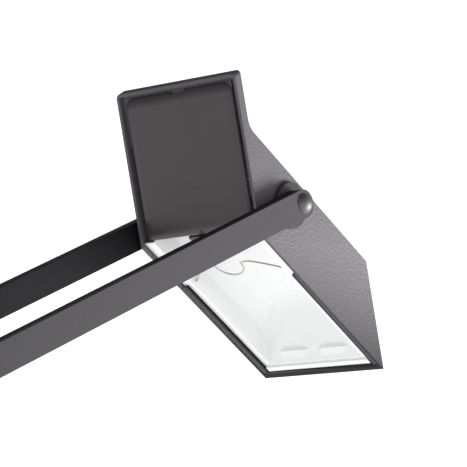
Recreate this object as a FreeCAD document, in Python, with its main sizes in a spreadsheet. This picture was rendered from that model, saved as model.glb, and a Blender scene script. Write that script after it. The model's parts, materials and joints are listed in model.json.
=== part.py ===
import FreeCAD, Part
import math
import os

import Sketcher

# A counterbalanced twin-bar desk lamp with a small low-voltage head.
# Row frame: +X points from the base towards the head, +Y across the lamp, +Z up.
# The origin is the centre of the base's underside.  Sizes are millimetres and degrees.

SIZES = {
    # head shell: aperture, box, raked grip plate and walls
    "head_width": 56.0,
    "aperture_length": 83.0,
    "box_depth": 28.5,
    "grip_reach": 39.8,
    "grip_crown": 1.6,
    "grip_depth": 3.4,
    "shell_wall": 1.2,
    "bend_radius": 8.0,
    "corner_radius": 1.6,
    "lip_width": 2.3,
    "lip_gauge": 1.0,
    "lip_level": 0.4,
    "lip_setback": 1.0,
    "near_lip_start": 25.0,
    "far_lip_start": 25.0,
    "head_slope": 30.4,
    # cover
    "cover_groove": 0.9,
    "cover_side_gap": 1.9,
    "cover_edge": 1.2,
    "cover_seat": 0.4,
    "cover_slot_length": 1.0,
    "cover_notch_radius": 2.0,
    "cover_notch_across": -1.0,
    "cover_gauge": 2.4,
    "cover_lift": 0.3,
    "cover_start": 2.2,
    "cover_slot_width": 6.4,
    "cover_screw_radius": 2.4,
    "cover_screw_height": 1.1,
    "cover_screw_drop": 9.0,
    "cover_screw_spread": 16.0,
    # reflector
    "rim_seat": 1.5,
    "reflector_rear": 3.2,
    "reflector_gauge": 0.7,
    "reflector_half": 22.0,
    "reflector_depth": 19.0,
    "reflector_radius": 12.0,
    "reflector_overcut": 5.0,
    "louvre_width": 14.0,
    "louvre_height": 3.6,
    "louvre_start": 1.2,
    "louvre_setback": 3.2,
    "end_wall_setback": 3.2,
    "rim_setback": 3.4,
    "rim_side_gap": 0.2,
    "mouth_setback": 1.3,
    "apron_lap": 1.2,
    "apron_reach": 1.6,
    "apron_drop": 1.1,
    "apron_gauge": 0.7,
    "holder_notch_end": 11.0,
    "holder_notch_side": 8.5,
    "louvre_spacing": 2.1,
    "louvre_cut": 3.0,
    # lamp holder and its clip
    "holder_width": 15.0,
    "holder_length": 9.0,
    "holder_height": 8.0,
    "holder_low": 2.6,
    "holder_back": 0.6,
    "holder_edge": 1.0,
    "socket_radius": 1.0,
    "socket_depth": 6.0,
    "socket_spread": 3.2,
    "contact_radius": 0.95,
    "contact_bore": 0.6,
    "contact_recess": 0.5,
    "bracket_gauge": 1.2,
    "bracket_half": 4.0,
    "bracket_setback": 1.0,
    "bracket_screw_radius": 2.2,
    "bracket_screw_height": 1.8,
    "clip_radius": 0.35,
    "clip_foot_along": 25.0,
    "clip_foot_level": 3.4,
    "clip_foot_gap": 1.4,
    "clip_level": 8.2,
    "clip_loop_along": 23.6,
    "clip_loop_across": 7.9,
    "clip_loop_radius": 6.4,
    "clip_hook_back": 2.6,
    "lead_radius": 0.6,
    "lead_roof_gap": 3.9,
    "lead_tap_offset": 2.1,
    # pivots
    "pivot_along": 7.7,
    "pivot_above": 18.1,
    "screw_radius": 2.0,
    "dome_radius": 3.6,
    "dome_height": 2.2,
    "disc_radius": 8.4,
    "bush_radius": 3.0,
    "nut_radius": 3.6,
    "nut_height": 2.6,
    "thread_end": 0.6,
    "joint_gap": 1.85,
    "running_fit": 0.05,
    "seat_fit": 0.03,
    "end_play": 0.1,
    # arms
    "bar_height": 10.0,
    "bar_thickness": 5.4,
    "upper_reach": 400.0,
    "upper_tail": 190.0,
    "upper_rise": 24.4,
    "lower_reach": 300.0,
    "lower_tail": 172.0,
    "lower_lean": 42.0,
    # counterweights
    "upper_weight_length": 28.0,
    "upper_weight_height": 26.0,
    "upper_weight_at": 170.0,
    "lower_weight_length": 44.0,
    "lower_weight_height": 40.0,
    "lower_weight_at": 145.0,
    "weight_corner": 3.0,
    "pad_gauge": 1.5,
    "weight_tap_depth": 9.0,
    "weight_screw_reach": 7.0,
    # turret
    "shoulder_height": 190.0,
    "crosshead_radius": 11.0,
    "post_radius": 9.0,
    "turret_flange_radius": 17.0,
    "turret_flange_gauge": 3.0,
    "shaft_radius": 8.0,
    "lead_way_radius": 3.0,
    "swivel_nut_overlap": 1.5,
    "swivel_nut_height": 4.0,
    "turret_edge": 1.0,
    "shoulder_tap_depth": 12.0,
    "shoulder_screw_reach": 9.0,
    # base
    "base_radius": 55.0,
    "base_top": 72.0,
    "base_wall": 3.0,
    "base_edge_radius": 4.0,
    "pad_height": 2.0,
    "pad_radius": 50.0,
    "plate_height": 8.0,
    "plate_gap": 0.4,
    "swivel_bush_wall": 2.5,
    "swivel_bush_flange": 1.5,
    "swivel_bush_overlap": 3.0,
    "boss_radius": 5.0,
    "boss_circle": 45.0,
    "boss_length": 14.0,
    "base_screw_radius": 1.8,
    "base_screw_head": 3.6,
    "base_screw_length": 18.0,
    "base_screw_head_height": 3.0,
    "base_screw_sink": 0.5,
    "screw_clearance": 0.3,
    # transformer
    "core_length": 60.0,
    "core_width": 26.0,
    "core_height": 42.0,
    "core_leg": 10.0,
    "coil_overhang": 8.0,
    "coil_clearance": 0.5,
    "coil_edge": 3.0,
    "strap_gauge": 1.2,
    "strap_width": 14.0,
    "strap_foot": 12.0,
    "strap_screw_height": 2.4,
    # switch, gland and terminals
    "switch_at": 34.0,
    "switch_length": 21.0,
    "switch_width": 14.0,
    "switch_depth": 15.0,
    "switch_rim": 1.6,
    "switch_wall": 1.4,
    "rocker_travel": 14.0,
    "rocker_gap": 0.3,
    "rocker_pin_radius": 1.0,
    "switch_edge": 0.8,
    "rocker_end_gap": 0.9,
    "rocker_rise": 4.2,
    "rocker_edge": 0.5,
    "rocker_dish_radius": 30.0,
    "rocker_dish_floor": 2.6,
    "rocker_stem_half": 2.0,
    "rocker_stem_drop": 5.0,
    "blade_spacing": 4.6,
    "blade_half_width": 2.4,
    "blade_half_gauge": 0.4,
    "blade_length": 7.0,
    "gland_height": 20.0,
    "gland_bore": 3.4,
    "gland_radius": 5.5,
    "gland_flange_radius": 7.5,
    "gland_flange_gauge": 2.2,
    "gland_reach": 6.0,
    "gland_nut_gap": 1.2,
    "gland_nut_gauge": 3.5,
    "terminal_length": 22.0,
    "terminal_width": 10.0,
    "terminal_height": 9.0,
    "terminal_way_radius": 1.5,
    "terminal_way_height": 3.0,
    "terminal_well_radius": 1.9,
    "terminal_well_floor": 5.5,
    "terminal_screw_radius": 1.6,
    "terminal_screw_sink": 1.2,
}

# how close two positions must be to count as the same place
NEAR = 0.01
# turn that lays a slot or plate along the raked front
RAKE_TURN = -135.0
BOSS_COUNT = 3
FIRST_BOSS_ANGLE = 30.0
WAY_COUNT = 3

ROOT_TWO = math.sqrt(2.0)
# share of a wall's thickness that its sloping crown takes off the reach of the room inside it
CROWN_SHARE = 0.745
SIDES = (("near", -1), ("far", 1))


class Size:
    """A length that knows both its number and the sheet expression behind it."""

    def __init__(self, text, number):
        self.text = text
        self.number = number

    @staticmethod
    def of(value):
        if isinstance(value, Size):
            return value
        return Size(repr(float(value)), float(value))

    def __add__(self, other):
        other = Size.of(other)
        return Size(f"({self.text} + {other.text})", self.number + other.number)

    def __radd__(self, other):
        return Size.of(other) + self

    def __sub__(self, other):
        other = Size.of(other)
        return Size(f"({self.text} - {other.text})", self.number - other.number)

    def __rsub__(self, other):
        return Size.of(other) - self

    def __mul__(self, other):
        other = Size.of(other)
        return Size(f"({self.text} * {other.text})", self.number * other.number)

    def __rmul__(self, other):
        return Size.of(other) * self

    def __truediv__(self, other):
        other = Size.of(other)
        return Size(f"({self.text} / {other.text})", self.number / other.number)

    def __neg__(self):
        return self * -1.0


doc = FreeCAD.newDocument("desk_lamp")
sheet = doc.addObject("Spreadsheet::Sheet", "Sizes")
for row, (alias, amount) in enumerate(SIZES.items(), start=1):
    sheet.set(f"A{row}", alias)
    sheet.set(f"B{row}", repr(amount))
    sheet.setAlias(f"B{row}", alias)
doc.recompute()


def size(alias):
    """The named size, bound to its spreadsheet cell."""
    return Size(f"Sizes.{alias}", float(SIZES[alias]))


def num(alias):
    """The named size as a plain number."""
    return float(SIZES[alias])


# ---------------------------------------------------------------- building blocks

AXIS_TURN = {
    "x": FreeCAD.Rotation(FreeCAD.Vector(0, 1, 0), 90),
    "y": FreeCAD.Rotation(FreeCAD.Vector(1, 0, 0), -90),
    "z": FreeCAD.Rotation(),
}
nodes = []


def bind(item, **properties):
    """Set properties of an object, each tied to its sheet expression."""
    for name, value in properties.items():
        value = Size.of(value)
        setattr(item, name, value.number)
        item.setExpression(name, value.text)


def locate(item, corner, turn=None):
    """Put an object at a point whose coordinates follow the sheet."""
    corner = [Size.of(value) for value in corner]
    base = FreeCAD.Vector(*[value.number for value in corner])
    item.Placement = FreeCAD.Placement(base, turn or FreeCAD.Rotation())
    for letter, value in zip("xyz", corner):
        item.setExpression(f"Placement.Base.{letter}", value.text)


def block(name, spans):
    """A box given by its low and high limits along x, y and z."""
    item = doc.addObject("Part::Box", name)
    (x_low, x_high), (y_low, y_high), (z_low, z_high) = spans
    bind(item, Length=x_high - Size.of(x_low), Width=y_high - Size.of(y_low), Height=z_high - Size.of(z_low))
    locate(item, (x_low, y_low, z_low))
    return item


def rod(name, radius, low, high, centre, axis):
    """A cylinder from low to high along its axis, through centre in the other two coordinates."""
    item = doc.addObject("Part::Cylinder", name)
    bind(item, Radius=radius, Height=high - Size.of(low))
    corner = list(centre)
    corner["xyz".index(axis)] = low
    locate(item, corner, AXIS_TURN[axis])
    return item


def dome(name, radius, height, face, centre, side):
    """A spherical cap on a plane y = face, bulging towards the given side."""
    ball = (num(radius) ** 2 + num(height) ** 2) / (2.0 * num(height))
    item = doc.addObject("Part::Sphere", name)
    item.Radius = ball
    item.Angle1 = math.degrees(math.asin((ball - num(height)) / ball))
    centre_y = Size.of(face) - side * (ball - num(height))
    turn = FreeCAD.Rotation(FreeCAD.Vector(1, 0, 0), -90 * side)
    locate(item, (centre[0], centre_y, centre[2]), turn)
    return item


def hexagon(name, radius, low, high, centre, axis):
    """A six-sided prism, as a nut has, from low to high along its axis."""
    item = doc.addObject("Part::Prism", name)
    item.Polygon = 6
    bind(item, Circumradius=radius, Height=high - Size.of(low))
    corner = list(centre)
    corner["xyz".index(axis)] = low
    locate(item, corner, AXIS_TURN[axis])
    return item


def join(name, pieces):
    """One solid from several that touch or overlap."""
    item = doc.addObject("Part::MultiFuse", name)
    item.Shapes = list(pieces)
    item.Refine = True
    return item


def carve(name, base, tools):
    """Take one or more tools out of a base solid."""
    tool = tools[0] if len(tools) == 1 else join(name + "_tools", tools)
    item = doc.addObject("Part::Cut", name)
    item.Base = base
    item.Tool = tool
    item.Refine = True
    return item


def soften(name, base, radius, wanted):
    """Round the edges of base whose middle point passes the test."""
    doc.recompute()
    item = doc.addObject("Part::Fillet", name)
    item.Base = base
    chosen = []
    for index, edge in enumerate(base.Shape.Edges, start=1):
        middle = edge.valueAt((edge.FirstParameter + edge.LastParameter) / 2.0)
        if wanted(middle, edge):
            chosen.append((index, radius, radius))
    if not chosen:
        raise RuntimeError(f"{name}: no edge to round")
    item.Edges = chosen
    return item


def outline_body(name, points, low, high):
    """A padded outline in the XZ plane, from y = low to y = high."""
    body = doc.addObject("PartDesign::Body", name)
    sketch = body.newObject("Sketcher::SketchObject", name + "_outline")
    plane = [item for item in body.Origin.OriginFeatures if item.Role == "XZ_Plane"][0]
    sketch.AttachmentSupport = (plane, [""])
    sketch.MapMode = "FlatFace"
    points = [(Size.of(x), Size.of(z)) for x, z in points]
    corners = [FreeCAD.Vector(x.number, z.number, 0) for x, z in points]
    count = len(points)
    for index in range(count):
        sketch.addGeometry(Part.LineSegment(corners[index], corners[(index + 1) % count]), False)
    for index in range(count):
        sketch.addConstraint(Sketcher.Constraint("Coincident", index, 2, (index + 1) % count, 1))
    for index, (x, z) in enumerate(points):
        for kind, value in (("DistanceX", x), ("DistanceY", z)):
            place = sketch.addConstraint(Sketcher.Constraint(kind, -1, 1, index, 1, value.number))
            sketch.setExpression(f"Constraints[{place}]", value.text)
    pad = body.newObject("PartDesign::Pad", name + "_pad")
    pad.Profile = sketch
    low = Size.of(low)
    bind(pad, Length=high - low)
    # the XZ plane looks along -Y, so the sketch stands at the high face and pads towards +Y
    pad.Reversed = True
    sketch.AttachmentOffset = FreeCAD.Placement(FreeCAD.Vector(0, 0, -low.number), FreeCAD.Rotation())
    sketch.setExpression("AttachmentOffset.Base.z", (-low).text)
    body.Tip = pad
    return body


def bent_path(points):
    """Straight runs joined by tangent arcs, each as large as its two runs allow."""
    edges = []
    start = points[0]
    for before, corner, after in zip(points, points[1:], points[2:]):
        back = before - corner
        ahead = after - corner
        reach = 0.45 * min(back.Length, ahead.Length)
        enter = corner + back.normalize() * reach
        leave = corner + ahead.normalize() * reach
        half = back.getAngle(ahead) / 2.0
        bisector = (back + ahead).normalize()
        radius = reach * math.tan(half)
        summit = corner + bisector * (reach / math.cos(half) - radius)
        edges.append(Part.LineSegment(start, enter).toShape())
        edges.append(Part.Arc(enter, summit, leave).toShape())
        start = leave
    edges.append(Part.LineSegment(start, points[-1]).toShape())
    return Part.Wire(edges)


def wire_form(name, points, radius):
    """Round wire carried along a bent path."""
    path = bent_path(points)
    section = Part.Wire([Part.makeCircle(radius, points[0], points[1] - points[0])])
    item = doc.addObject("Part::Feature", name)
    item.Shape = path.makePipeShell([section], True, True)
    return item


def node(label, items, place=None):
    """Register one or more solids as a sub-part in its final place."""
    items = items if isinstance(items, list) else [items]
    simple = ("Part::Box", "Part::Cylinder", "Part::Prism", "Part::Sphere")
    if len(items) == 1 and items[0].TypeId not in simple:
        item = items[0]
    else:
        item = doc.addObject("Part::Compound", label)
        item.Links = items
    item.Label = label
    if place:
        item.Placement = place
    nodes.append(item)
    return item


def pair(make):
    """The near and the far copy of a piece, each made by make(name of side, sign)."""
    return [make(word, sign) for word, sign in SIDES]


# ---------------------------------------------------------------- places of the moving groups

def tilt(degrees):
    """A turn about +Y; a positive one tips the +X end down."""
    return FreeCAD.Rotation(FreeCAD.Vector(0, 1, 0), degrees)


shoulder = FreeCAD.Vector(0, 0, num("shoulder_height"))
lower_turn = tilt(-(90.0 + num("lower_lean")))
elbow = shoulder + lower_turn.multVec(FreeCAD.Vector(num("lower_reach"), 0, 0))
upper_turn = tilt(-num("upper_rise"))
head_pivot = elbow + upper_turn.multVec(FreeCAD.Vector(num("upper_reach"), 0, 0))
head_turn = tilt(num("head_slope"))
pivot_in_head = FreeCAD.Vector(num("pivot_along"), 0, num("pivot_above"))
lower_place = FreeCAD.Placement(shoulder, lower_turn)
upper_place = FreeCAD.Placement(elbow, upper_turn)
head_place = FreeCAD.Placement(head_pivot - head_turn.multVec(pivot_in_head), head_turn)

# Faces across the lamp, from the head outwards: head, upper bars, lower bars.
head_face = size("head_width") / 2
upper_inner = head_face + size("joint_gap")
upper_outer = upper_inner + size("bar_thickness")
lower_inner = upper_outer + size("joint_gap")
lower_outer = lower_inner + size("bar_thickness")


# ---------------------------------------------------------------- pivots shared by all joints

def span(face, reach, sign):
    """The limits along y of something that starts at face and reaches outwards by reach."""
    ends = (sign * Size.of(face), sign * (Size.of(face) + reach))
    return ends if sign > 0 else (ends[1], ends[0])


def pivot_screws(label, bar_face, tip_face, centre, place):
    """Dome-headed shoulder screws on both sides, from inside tip_face out past bar_face."""
    def one(side, sign):
        name = f"{label}_{side}"
        low, high = span(tip_face, bar_face - tip_face + size("end_play"), sign)
        shank = rod(name + "_shank", size("screw_radius"), low, high, centre, "y")
        seat = sign * (bar_face + size("end_play"))
        cap = dome(name + "_dome", "dome_radius", "dome_height", seat, centre, sign)
        return join(name, [shank, cap])
    return node(label, pair(one), place)


def spacer_discs(label, inner_face, centre, place):
    """Friction discs that lie on inner_face and stop end_play short of the next bar."""
    def one(side, sign):
        name = f"{label}_{side}"
        low, high = span(inner_face, size("joint_gap") - size("end_play"), sign)
        disc = rod(name + "_disc", size("disc_radius"), low, high, centre, "y")
        bore = rod(name + "_bore", size("screw_radius") + size("seat_fit"), low - 1, high + 1, centre, "y")
        return carve(name, disc, [bore])
    return node(label, pair(one), place)


def pivot_nuts(label, wall_face, centre, place):
    """Hexagon nuts that lie against the inside of wall_face."""
    def one(side, sign):
        name = f"{label}_{side}"
        low, high = span(wall_face - size("nut_height"), size("nut_height"), sign)
        body = hexagon(name + "_hex", size("nut_radius"), low, high, centre, "y")
        bore = rod(name + "_bore", size("screw_radius") + size("seat_fit"), low - 1, high + 1, centre, "y")
        return carve(name, body, [bore])
    return node(label, pair(one), place)


def bar_bushes(label, bar_face, centre, place):
    """Insulating bushes pressed in the bars, that turn on the shoulder screws."""
    def one(side, sign):
        name = f"{label}_{side}"
        low, high = span(bar_face, size("bar_thickness"), sign)
        body = rod(name + "_body", size("bush_radius"), low, high, centre, "y")
        bore = rod(name + "_bore", size("screw_radius") + size("running_fit"), low - 1, high + 1, centre, "y")
        return carve(name, body, [bore])
    return node(label, pair(one), place)


# ---------------------------------------------------------------- arms

def bar_holes(name, low, high, places):
    """Cross holes for a bar: each place is a position along the bar and a radius."""
    return [
        rod(f"{name}_hole_{index}", radius, low - 1, high + 1, (along, 0, 0), "y")
        for index, (along, radius) in enumerate(places)
    ]


def arm_bar(label, sign, face, reach, tail, holes, place):
    """A flat bar with half-round ends, from -tail to +reach about its own pivot."""
    low, high = span(face, size("bar_thickness"), sign)
    half = size("bar_height") / 2
    flat = block(label + "_flat", ((-tail + half, reach), (low, high), (-half, half)))
    nose = rod(label + "_nose", half, low, high, (reach, 0, 0), "y")
    heel = rod(label + "_heel", half, low, high, (-tail + half, 0, 0), "y")
    solid = join(label + "_solid", [flat, nose, heel])
    return node(label, carve(label + "_drilled", solid, bar_holes(label, low, high, holes)), place)


def weight_holes(prefix):
    """The two screw positions along an arm that hold its counterweight."""
    quarter = size(prefix + "_weight_length") / 4
    centre = -size(prefix + "_weight_at")
    return centre - quarter, centre + quarter


def counterweight(prefix, inner_face, place):
    """A steel block between the tails of two bars, with tapped holes for its screws."""
    label = prefix + "_counterweight"
    half_length = size(prefix + "_weight_length") / 2
    half_height = size(prefix + "_weight_height") / 2
    half_width = inner_face - size("pad_gauge")
    centre = -size(prefix + "_weight_at")
    body = block(
        label + "_block",
        ((centre - half_length, centre + half_length), (-half_width, half_width),
         (-half_height, half_height)),
    )
    rounded = soften(
        label + "_rounded", body, num("weight_corner"),
        lambda middle, edge: abs(abs(middle.y) - half_width.number) > NEAR,
    )
    tools = []
    for index, along in enumerate(weight_holes(prefix)):
        for side, sign in SIDES:
            low, high = span(half_width - size("weight_tap_depth"), size("weight_tap_depth") + 1, sign)
            tools.append(rod(
                f"{label}_tap_{side}_{index}", size("screw_radius") + size("seat_fit"), low, high,
                (along, 0, 0), "y",
            ))
    return node(label, carve(label + "_tapped", rounded, tools), place)


def weight_pads(prefix, inner_face, place):
    """Insulating plates that keep the counterweight off the live bars."""
    label = prefix + "_weight_pads"
    half_length = size(prefix + "_weight_length") / 2
    half_height = size("bar_height") / 2
    centre = -size(prefix + "_weight_at")

    def one(side, sign):
        name = f"{label}_{side}"
        low, high = span(inner_face - size("pad_gauge"), size("pad_gauge"), sign)
        plate = block(
            name + "_plate",
            ((centre - half_length, centre + half_length), (low, high), (-half_height, half_height)),
        )
        holes = [
            rod(f"{name}_hole_{index}", size("screw_radius") + size("seat_fit"), low - 1, high + 1,
                (along, 0, 0), "y")
            for index, along in enumerate(weight_holes(prefix))
        ]
        return carve(name, plate, holes)
    return node(label, pair(one), place)


def weight_screws(prefix, outer_face, inner_face, place):
    """Dome-headed screws through the bars and pads into the counterweight."""
    label = prefix + "_weight_screws"
    pieces = []
    for index, along in enumerate(weight_holes(prefix)):
        for side, sign in SIDES:
            name = f"{label}_{side}_{index}"
            tip = inner_face - size("pad_gauge") - size("weight_screw_reach")
            low, high = span(tip, outer_face - tip, sign)
            shank = rod(name + "_shank", size("screw_radius"), low, high, (along, 0, 0), "y")
            cap = dome(name + "_dome", "dome_radius", "dome_height", sign * outer_face, (along, 0, 0), sign)
            pieces.append(join(name, [shank, cap]))
    return node(label, pieces, place)


def make_arms():
    """Both pairs of bars with their counterweights and bushes."""
    hole = size("screw_radius") + size("seat_fit")
    bush = size("bush_radius") + size("seat_fit")
    upper_holes = [(size("upper_reach"), bush), (Size.of(0), hole)]
    upper_holes += [(along, hole) for along in weight_holes("upper")]
    lower_holes = [(size("lower_reach"), bush), (Size.of(0), bush)]
    lower_holes += [(along, hole) for along in weight_holes("lower")]
    for side, sign in SIDES:
        arm_bar("upper_bar_" + side, sign, upper_inner, size("upper_reach"), size("upper_tail"),
                upper_holes, upper_place)
        arm_bar("lower_bar_" + side, sign, lower_inner, size("lower_reach"), size("lower_tail"),
                lower_holes, lower_place)
    for prefix, inner, outer, place in (
        ("upper", upper_inner, upper_outer, upper_place),
        ("lower", lower_inner, lower_outer, lower_place),
    ):
        counterweight(prefix, inner, place)
        weight_pads(prefix, inner, place)
        weight_screws(prefix, outer, inner, place)
    bar_bushes("head_bushes", upper_inner, (size("upper_reach"), 0, 0), upper_place)
    bar_bushes("elbow_bushes", lower_inner, (size("lower_reach"), 0, 0), lower_place)
    bar_bushes("shoulder_bushes", lower_inner, (0, 0, 0), lower_place)
    elbow_centre = (0, 0, 0)
    pivot_screws("elbow_screws", lower_outer, upper_inner - size("nut_height") - size("thread_end"),
                 elbow_centre, upper_place)
    spacer_discs("elbow_discs", upper_outer, elbow_centre, upper_place)
    pivot_nuts("elbow_nuts", upper_inner, elbow_centre, upper_place)


# ---------------------------------------------------------------- turret

def make_turret():
    """The post that swivels in the base and carries the shoulder pivot."""
    top = size("shoulder_height")
    ear = lower_inner - size("joint_gap")
    flange_low = size("base_top") + size("swivel_bush_flange") + size("end_play")
    nut_high = size("base_top") - size("base_wall") - size("end_play")
    nut_low = nut_high - size("swivel_nut_height")
    shaft_low = nut_low - 2
    crosshead = rod("crosshead", size("crosshead_radius"), -ear, ear, (0, 0, top), "y")
    post = rod("post", size("post_radius"), flange_low, top, (0, 0, 0), "z")
    flange = rod("post_flange", size("turret_flange_radius"), flange_low,
                 flange_low + size("turret_flange_gauge"), (0, 0, 0), "z")
    shaft = rod("post_shaft", size("shaft_radius"), shaft_low, flange_low + 1, (0, 0, 0), "z")
    solid = join("turret_solid", [crosshead, post, flange, shaft])
    lead_way = rod("lead_way", size("lead_way_radius"), shaft_low - 1, top, (0, 0, 0), "z")
    tap_depth = size("shoulder_tap_depth")
    taps = pair(lambda side, sign: rod(
        "shoulder_tap_" + side, size("screw_radius") + size("seat_fit"),
        *span(ear - tap_depth, tap_depth + 1, sign), (0, 0, top), "y",
    ))
    drilled = carve("turret_drilled", solid, [lead_way] + taps)
    rim = num("crosshead_radius")
    node("turret_post", soften(
        "turret_rounded", drilled, num("turret_edge"),
        lambda middle, edge: abs(abs(middle.y) - ear.number) < NEAR and edge.Length > rim,
    ))
    nut_radius = size("shaft_radius") + size("swivel_bush_wall") + size("swivel_nut_overlap")
    nut = hexagon("swivel_nut_hex", nut_radius, nut_low, nut_high, (0, 0, 0), "z")
    nut_bore = rod("swivel_nut_bore", size("shaft_radius") + size("seat_fit"), nut_low - 1, nut_high + 1,
                   (0, 0, 0), "z")
    node("swivel_nut", carve("swivel_nut_cut", nut, [nut_bore]))
    centre = (0, 0, top)
    pivot_screws("shoulder_screws", lower_outer, ear - size("shoulder_screw_reach"), centre, None)
    spacer_discs("shoulder_discs", ear, centre, None)


# ---------------------------------------------------------------- base

def boss_places():
    """Angles of the three screws that close the base."""
    return [math.radians(FIRST_BOSS_ANGLE + 360.0 / BOSS_COUNT * index) for index in range(BOSS_COUNT)]


def around(angle, radius):
    """A point at an angle on a circle about the base's axis."""
    return radius * math.cos(angle), radius * math.sin(angle)


def make_base_housing():
    """The turned cover of the base, with bosses and holes for what it carries."""
    low = size("pad_height") + 1
    top = size("base_top")
    outer = rod("housing_outer", size("base_radius"), low, top, (0, 0, 0), "z")
    rounded = soften(
        "housing_rounded", outer, num("base_edge_radius"),
        lambda middle, edge: middle.z > top.number - NEAR,
    )
    inner_top = top - size("base_wall")
    hollow = rod("housing_hollow", size("base_radius") - size("base_wall"), low - 1, inner_top, (0, 0,
                                                                                                 0), "z")
    shell = carve("housing_shell", rounded, [hollow])
    plate_top = size("pad_height") + size("plate_height")
    bosses = []
    taps = []
    for index, angle in enumerate(boss_places()):
        x, y = around(angle, size("boss_circle"))
        boss_high = plate_top + size("boss_length")
        bosses.append(rod(f"boss_{index}", size("boss_radius"), plate_top, boss_high, (x, y, 0), "z"))
        taps.append(rod(f"boss_tap_{index}", size("base_screw_radius") + size("seat_fit"),
                        plate_top - 1, boss_high - 2, (x, y, 0), "z"))
        rib_x, rib_y = around(angle, size("base_radius") - size("base_wall") / 2)
        bosses.append(rod(f"boss_rib_{index}", size("base_wall") / 2 + 2, plate_top, boss_high,
                          ((x + rib_x) / 2, (y + rib_y) / 2, 0), "z"))
    body = join("housing_body", [shell] + bosses)
    bush_hole = rod("bush_hole", size("shaft_radius") + size("swivel_bush_wall") + size("seat_fit"),
                    inner_top - 1, top + 1, (0, 0, 0), "z")
    half_x = size("switch_width") / 2 - size("switch_rim")
    half_y = size("switch_length") / 2 - size("switch_rim")
    centre = size("switch_at")
    switch_hole = block("switch_hole", ((centre - half_x, centre + half_x), (-half_y, half_y),
                                        (inner_top - 1, top + 1)))
    gland_hole = rod("gland_hole", size("gland_radius") + size("seat_fit"), -size("base_radius") - 1,
                     -size("base_radius") + size("base_wall") * 2, (0, 0, size("gland_height")), "x")
    # trims any part of the boss ribs that would stand outside the round wall
    trim_outer = rod(
        "trim_outer", size("base_radius") + size("boss_radius") * 2, low - 1, top + 1,
        (0, 0, 0), "z",
    )
    trim_inner = rod("trim_inner", size("base_radius"), low - 2, top + 2, (0, 0, 0), "z")
    trim = carve("housing_trim", trim_outer, [trim_inner])
    node("base_housing", carve("housing_finished", body, taps + [bush_hole, switch_hole, gland_hole, trim]))


def make_base_plate():
    """The steel ballast plate, the rubber pad under it and the screws through it."""
    plate_low = size("pad_height")
    plate_high = plate_low + size("plate_height")
    radius = size("base_radius") - size("base_wall") - size("plate_gap")
    disc = rod("plate_disc", radius, plate_low, plate_high, (0, 0, 0), "z")
    holes = []
    screws = []
    head_height = size("base_screw_head_height")
    clearance = size("screw_clearance")
    for index, angle in enumerate(boss_places()):
        x, y = around(angle, size("boss_circle"))
        centre = (x, y, 0)
        holes.append(rod(f"plate_hole_{index}", size("base_screw_radius") + clearance, plate_low - 1,
                         plate_high + 1, centre, "z"))
        holes.append(rod(f"plate_sink_{index}", size("base_screw_head") + clearance, plate_low - 1,
                         plate_low + head_height, centre, "z"))
        shank = rod(f"base_screw_shank_{index}", size("base_screw_radius"),
                    plate_low + size("base_screw_sink"),
                    plate_low + size("base_screw_length"), centre, "z")
        head = rod(f"base_screw_head_{index}", size("base_screw_head"), plate_low + size("base_screw_sink"),
                   plate_low + head_height, centre, "z")
        screws.append(join(f"base_screw_{index}", [head, shank]))
    node("base_plate", carve("plate_drilled", disc, holes))
    node("base_screws", screws)
    pad = rod("pad_disc", size("pad_radius"), 0, size("pad_height"), (0, 0, 0), "z")
    node("base_pad", pad)


def make_swivel_bush():
    """The flanged bush that the turret turns in."""
    top = size("base_top")
    outer = size("shaft_radius") + size("swivel_bush_wall")
    body = rod("swivel_bush_body", outer, top - size("base_wall"), top + size("swivel_bush_flange"),
               (0, 0, 0), "z")
    flange_top = top + size("swivel_bush_flange")
    flange = rod("swivel_bush_rim", outer + size("swivel_bush_overlap"), top, flange_top, (0, 0, 0), "z")
    bore = rod("swivel_bush_bore", size("shaft_radius") + size("running_fit"), 0, flange_top + 1,
               (0, 0, 0), "z")
    node("swivel_bush", carve("swivel_bush_cut", join("swivel_bush_solid", [body, flange]), [bore]))


def make_transformer():
    """A laminated core with its winding, held down by a strap and two screws."""
    floor = size("pad_height") + size("plate_height")
    low = floor
    high = low + size("core_height")
    half_x = size("core_length") / 2
    half_y = size("core_width") / 2
    leg = size("core_leg")
    core = block("core_block", ((-half_x, half_x), (-half_y, half_y), (low, high)))
    windows = [
        block(f"core_window_{index}", ((left, right), (-half_y - 1, half_y + 1), (low + leg, high - leg)))
        for index, (left, right) in enumerate(((-half_x + leg, -leg), (leg, half_x - leg)))
    ]
    node("transformer_core", carve("core_stack", core, windows))
    gap = size("coil_clearance")
    coil = soften(
        "coil_rounded",
        block("coil_block", ((-half_x + leg + gap, half_x - leg - gap),
                             (-half_y - size("coil_overhang"), half_y + size("coil_overhang")),
                             (low + leg + gap, high - leg - gap))),
        num("coil_edge"),
        lambda middle, edge: abs(middle.z - (low + high).number / 2.0) < 0.5,
    )
    eye = block("coil_eye", ((-leg - gap, leg + gap), (-half_y - gap, half_y + gap), (low, high)))
    node("transformer_coil", carve("coil_cut", coil, [eye]))
    gauge = size("strap_gauge")
    half_strap = size("strap_width") / 2
    foot = size("strap_foot")
    cap = block("strap_cap", ((-half_x - gauge, half_x + gauge), (-half_strap, half_strap),
                               (low, high + gauge)))
    feet = block("strap_feet", ((-half_x - foot, half_x + foot), (-half_strap, half_strap),
                               (low, low + gauge)))
    room = block("strap_room", ((-half_x, half_x), (-half_y - 1, half_y + 1), (low - 1, high)))
    foot_centre = half_x + foot / 2
    holes = pair(lambda side, sign: rod("strap_hole_" + side,
                                        size("base_screw_radius") + size("screw_clearance"),
                                        low - 1, low + gauge + 1, (sign * foot_centre, 0, 0), "z"))
    node("transformer_strap", carve("strap_cut", join("strap_solid", [cap, feet]), [room] + holes))

    def screw(side, sign):
        centre = (sign * foot_centre, 0, 0)
        return rod("strap_screw_" + side, size("base_screw_head"), floor + gauge,
                   floor + gauge + size("strap_screw_height"), centre, "z")
    node("transformer_screws", pair(screw))


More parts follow.
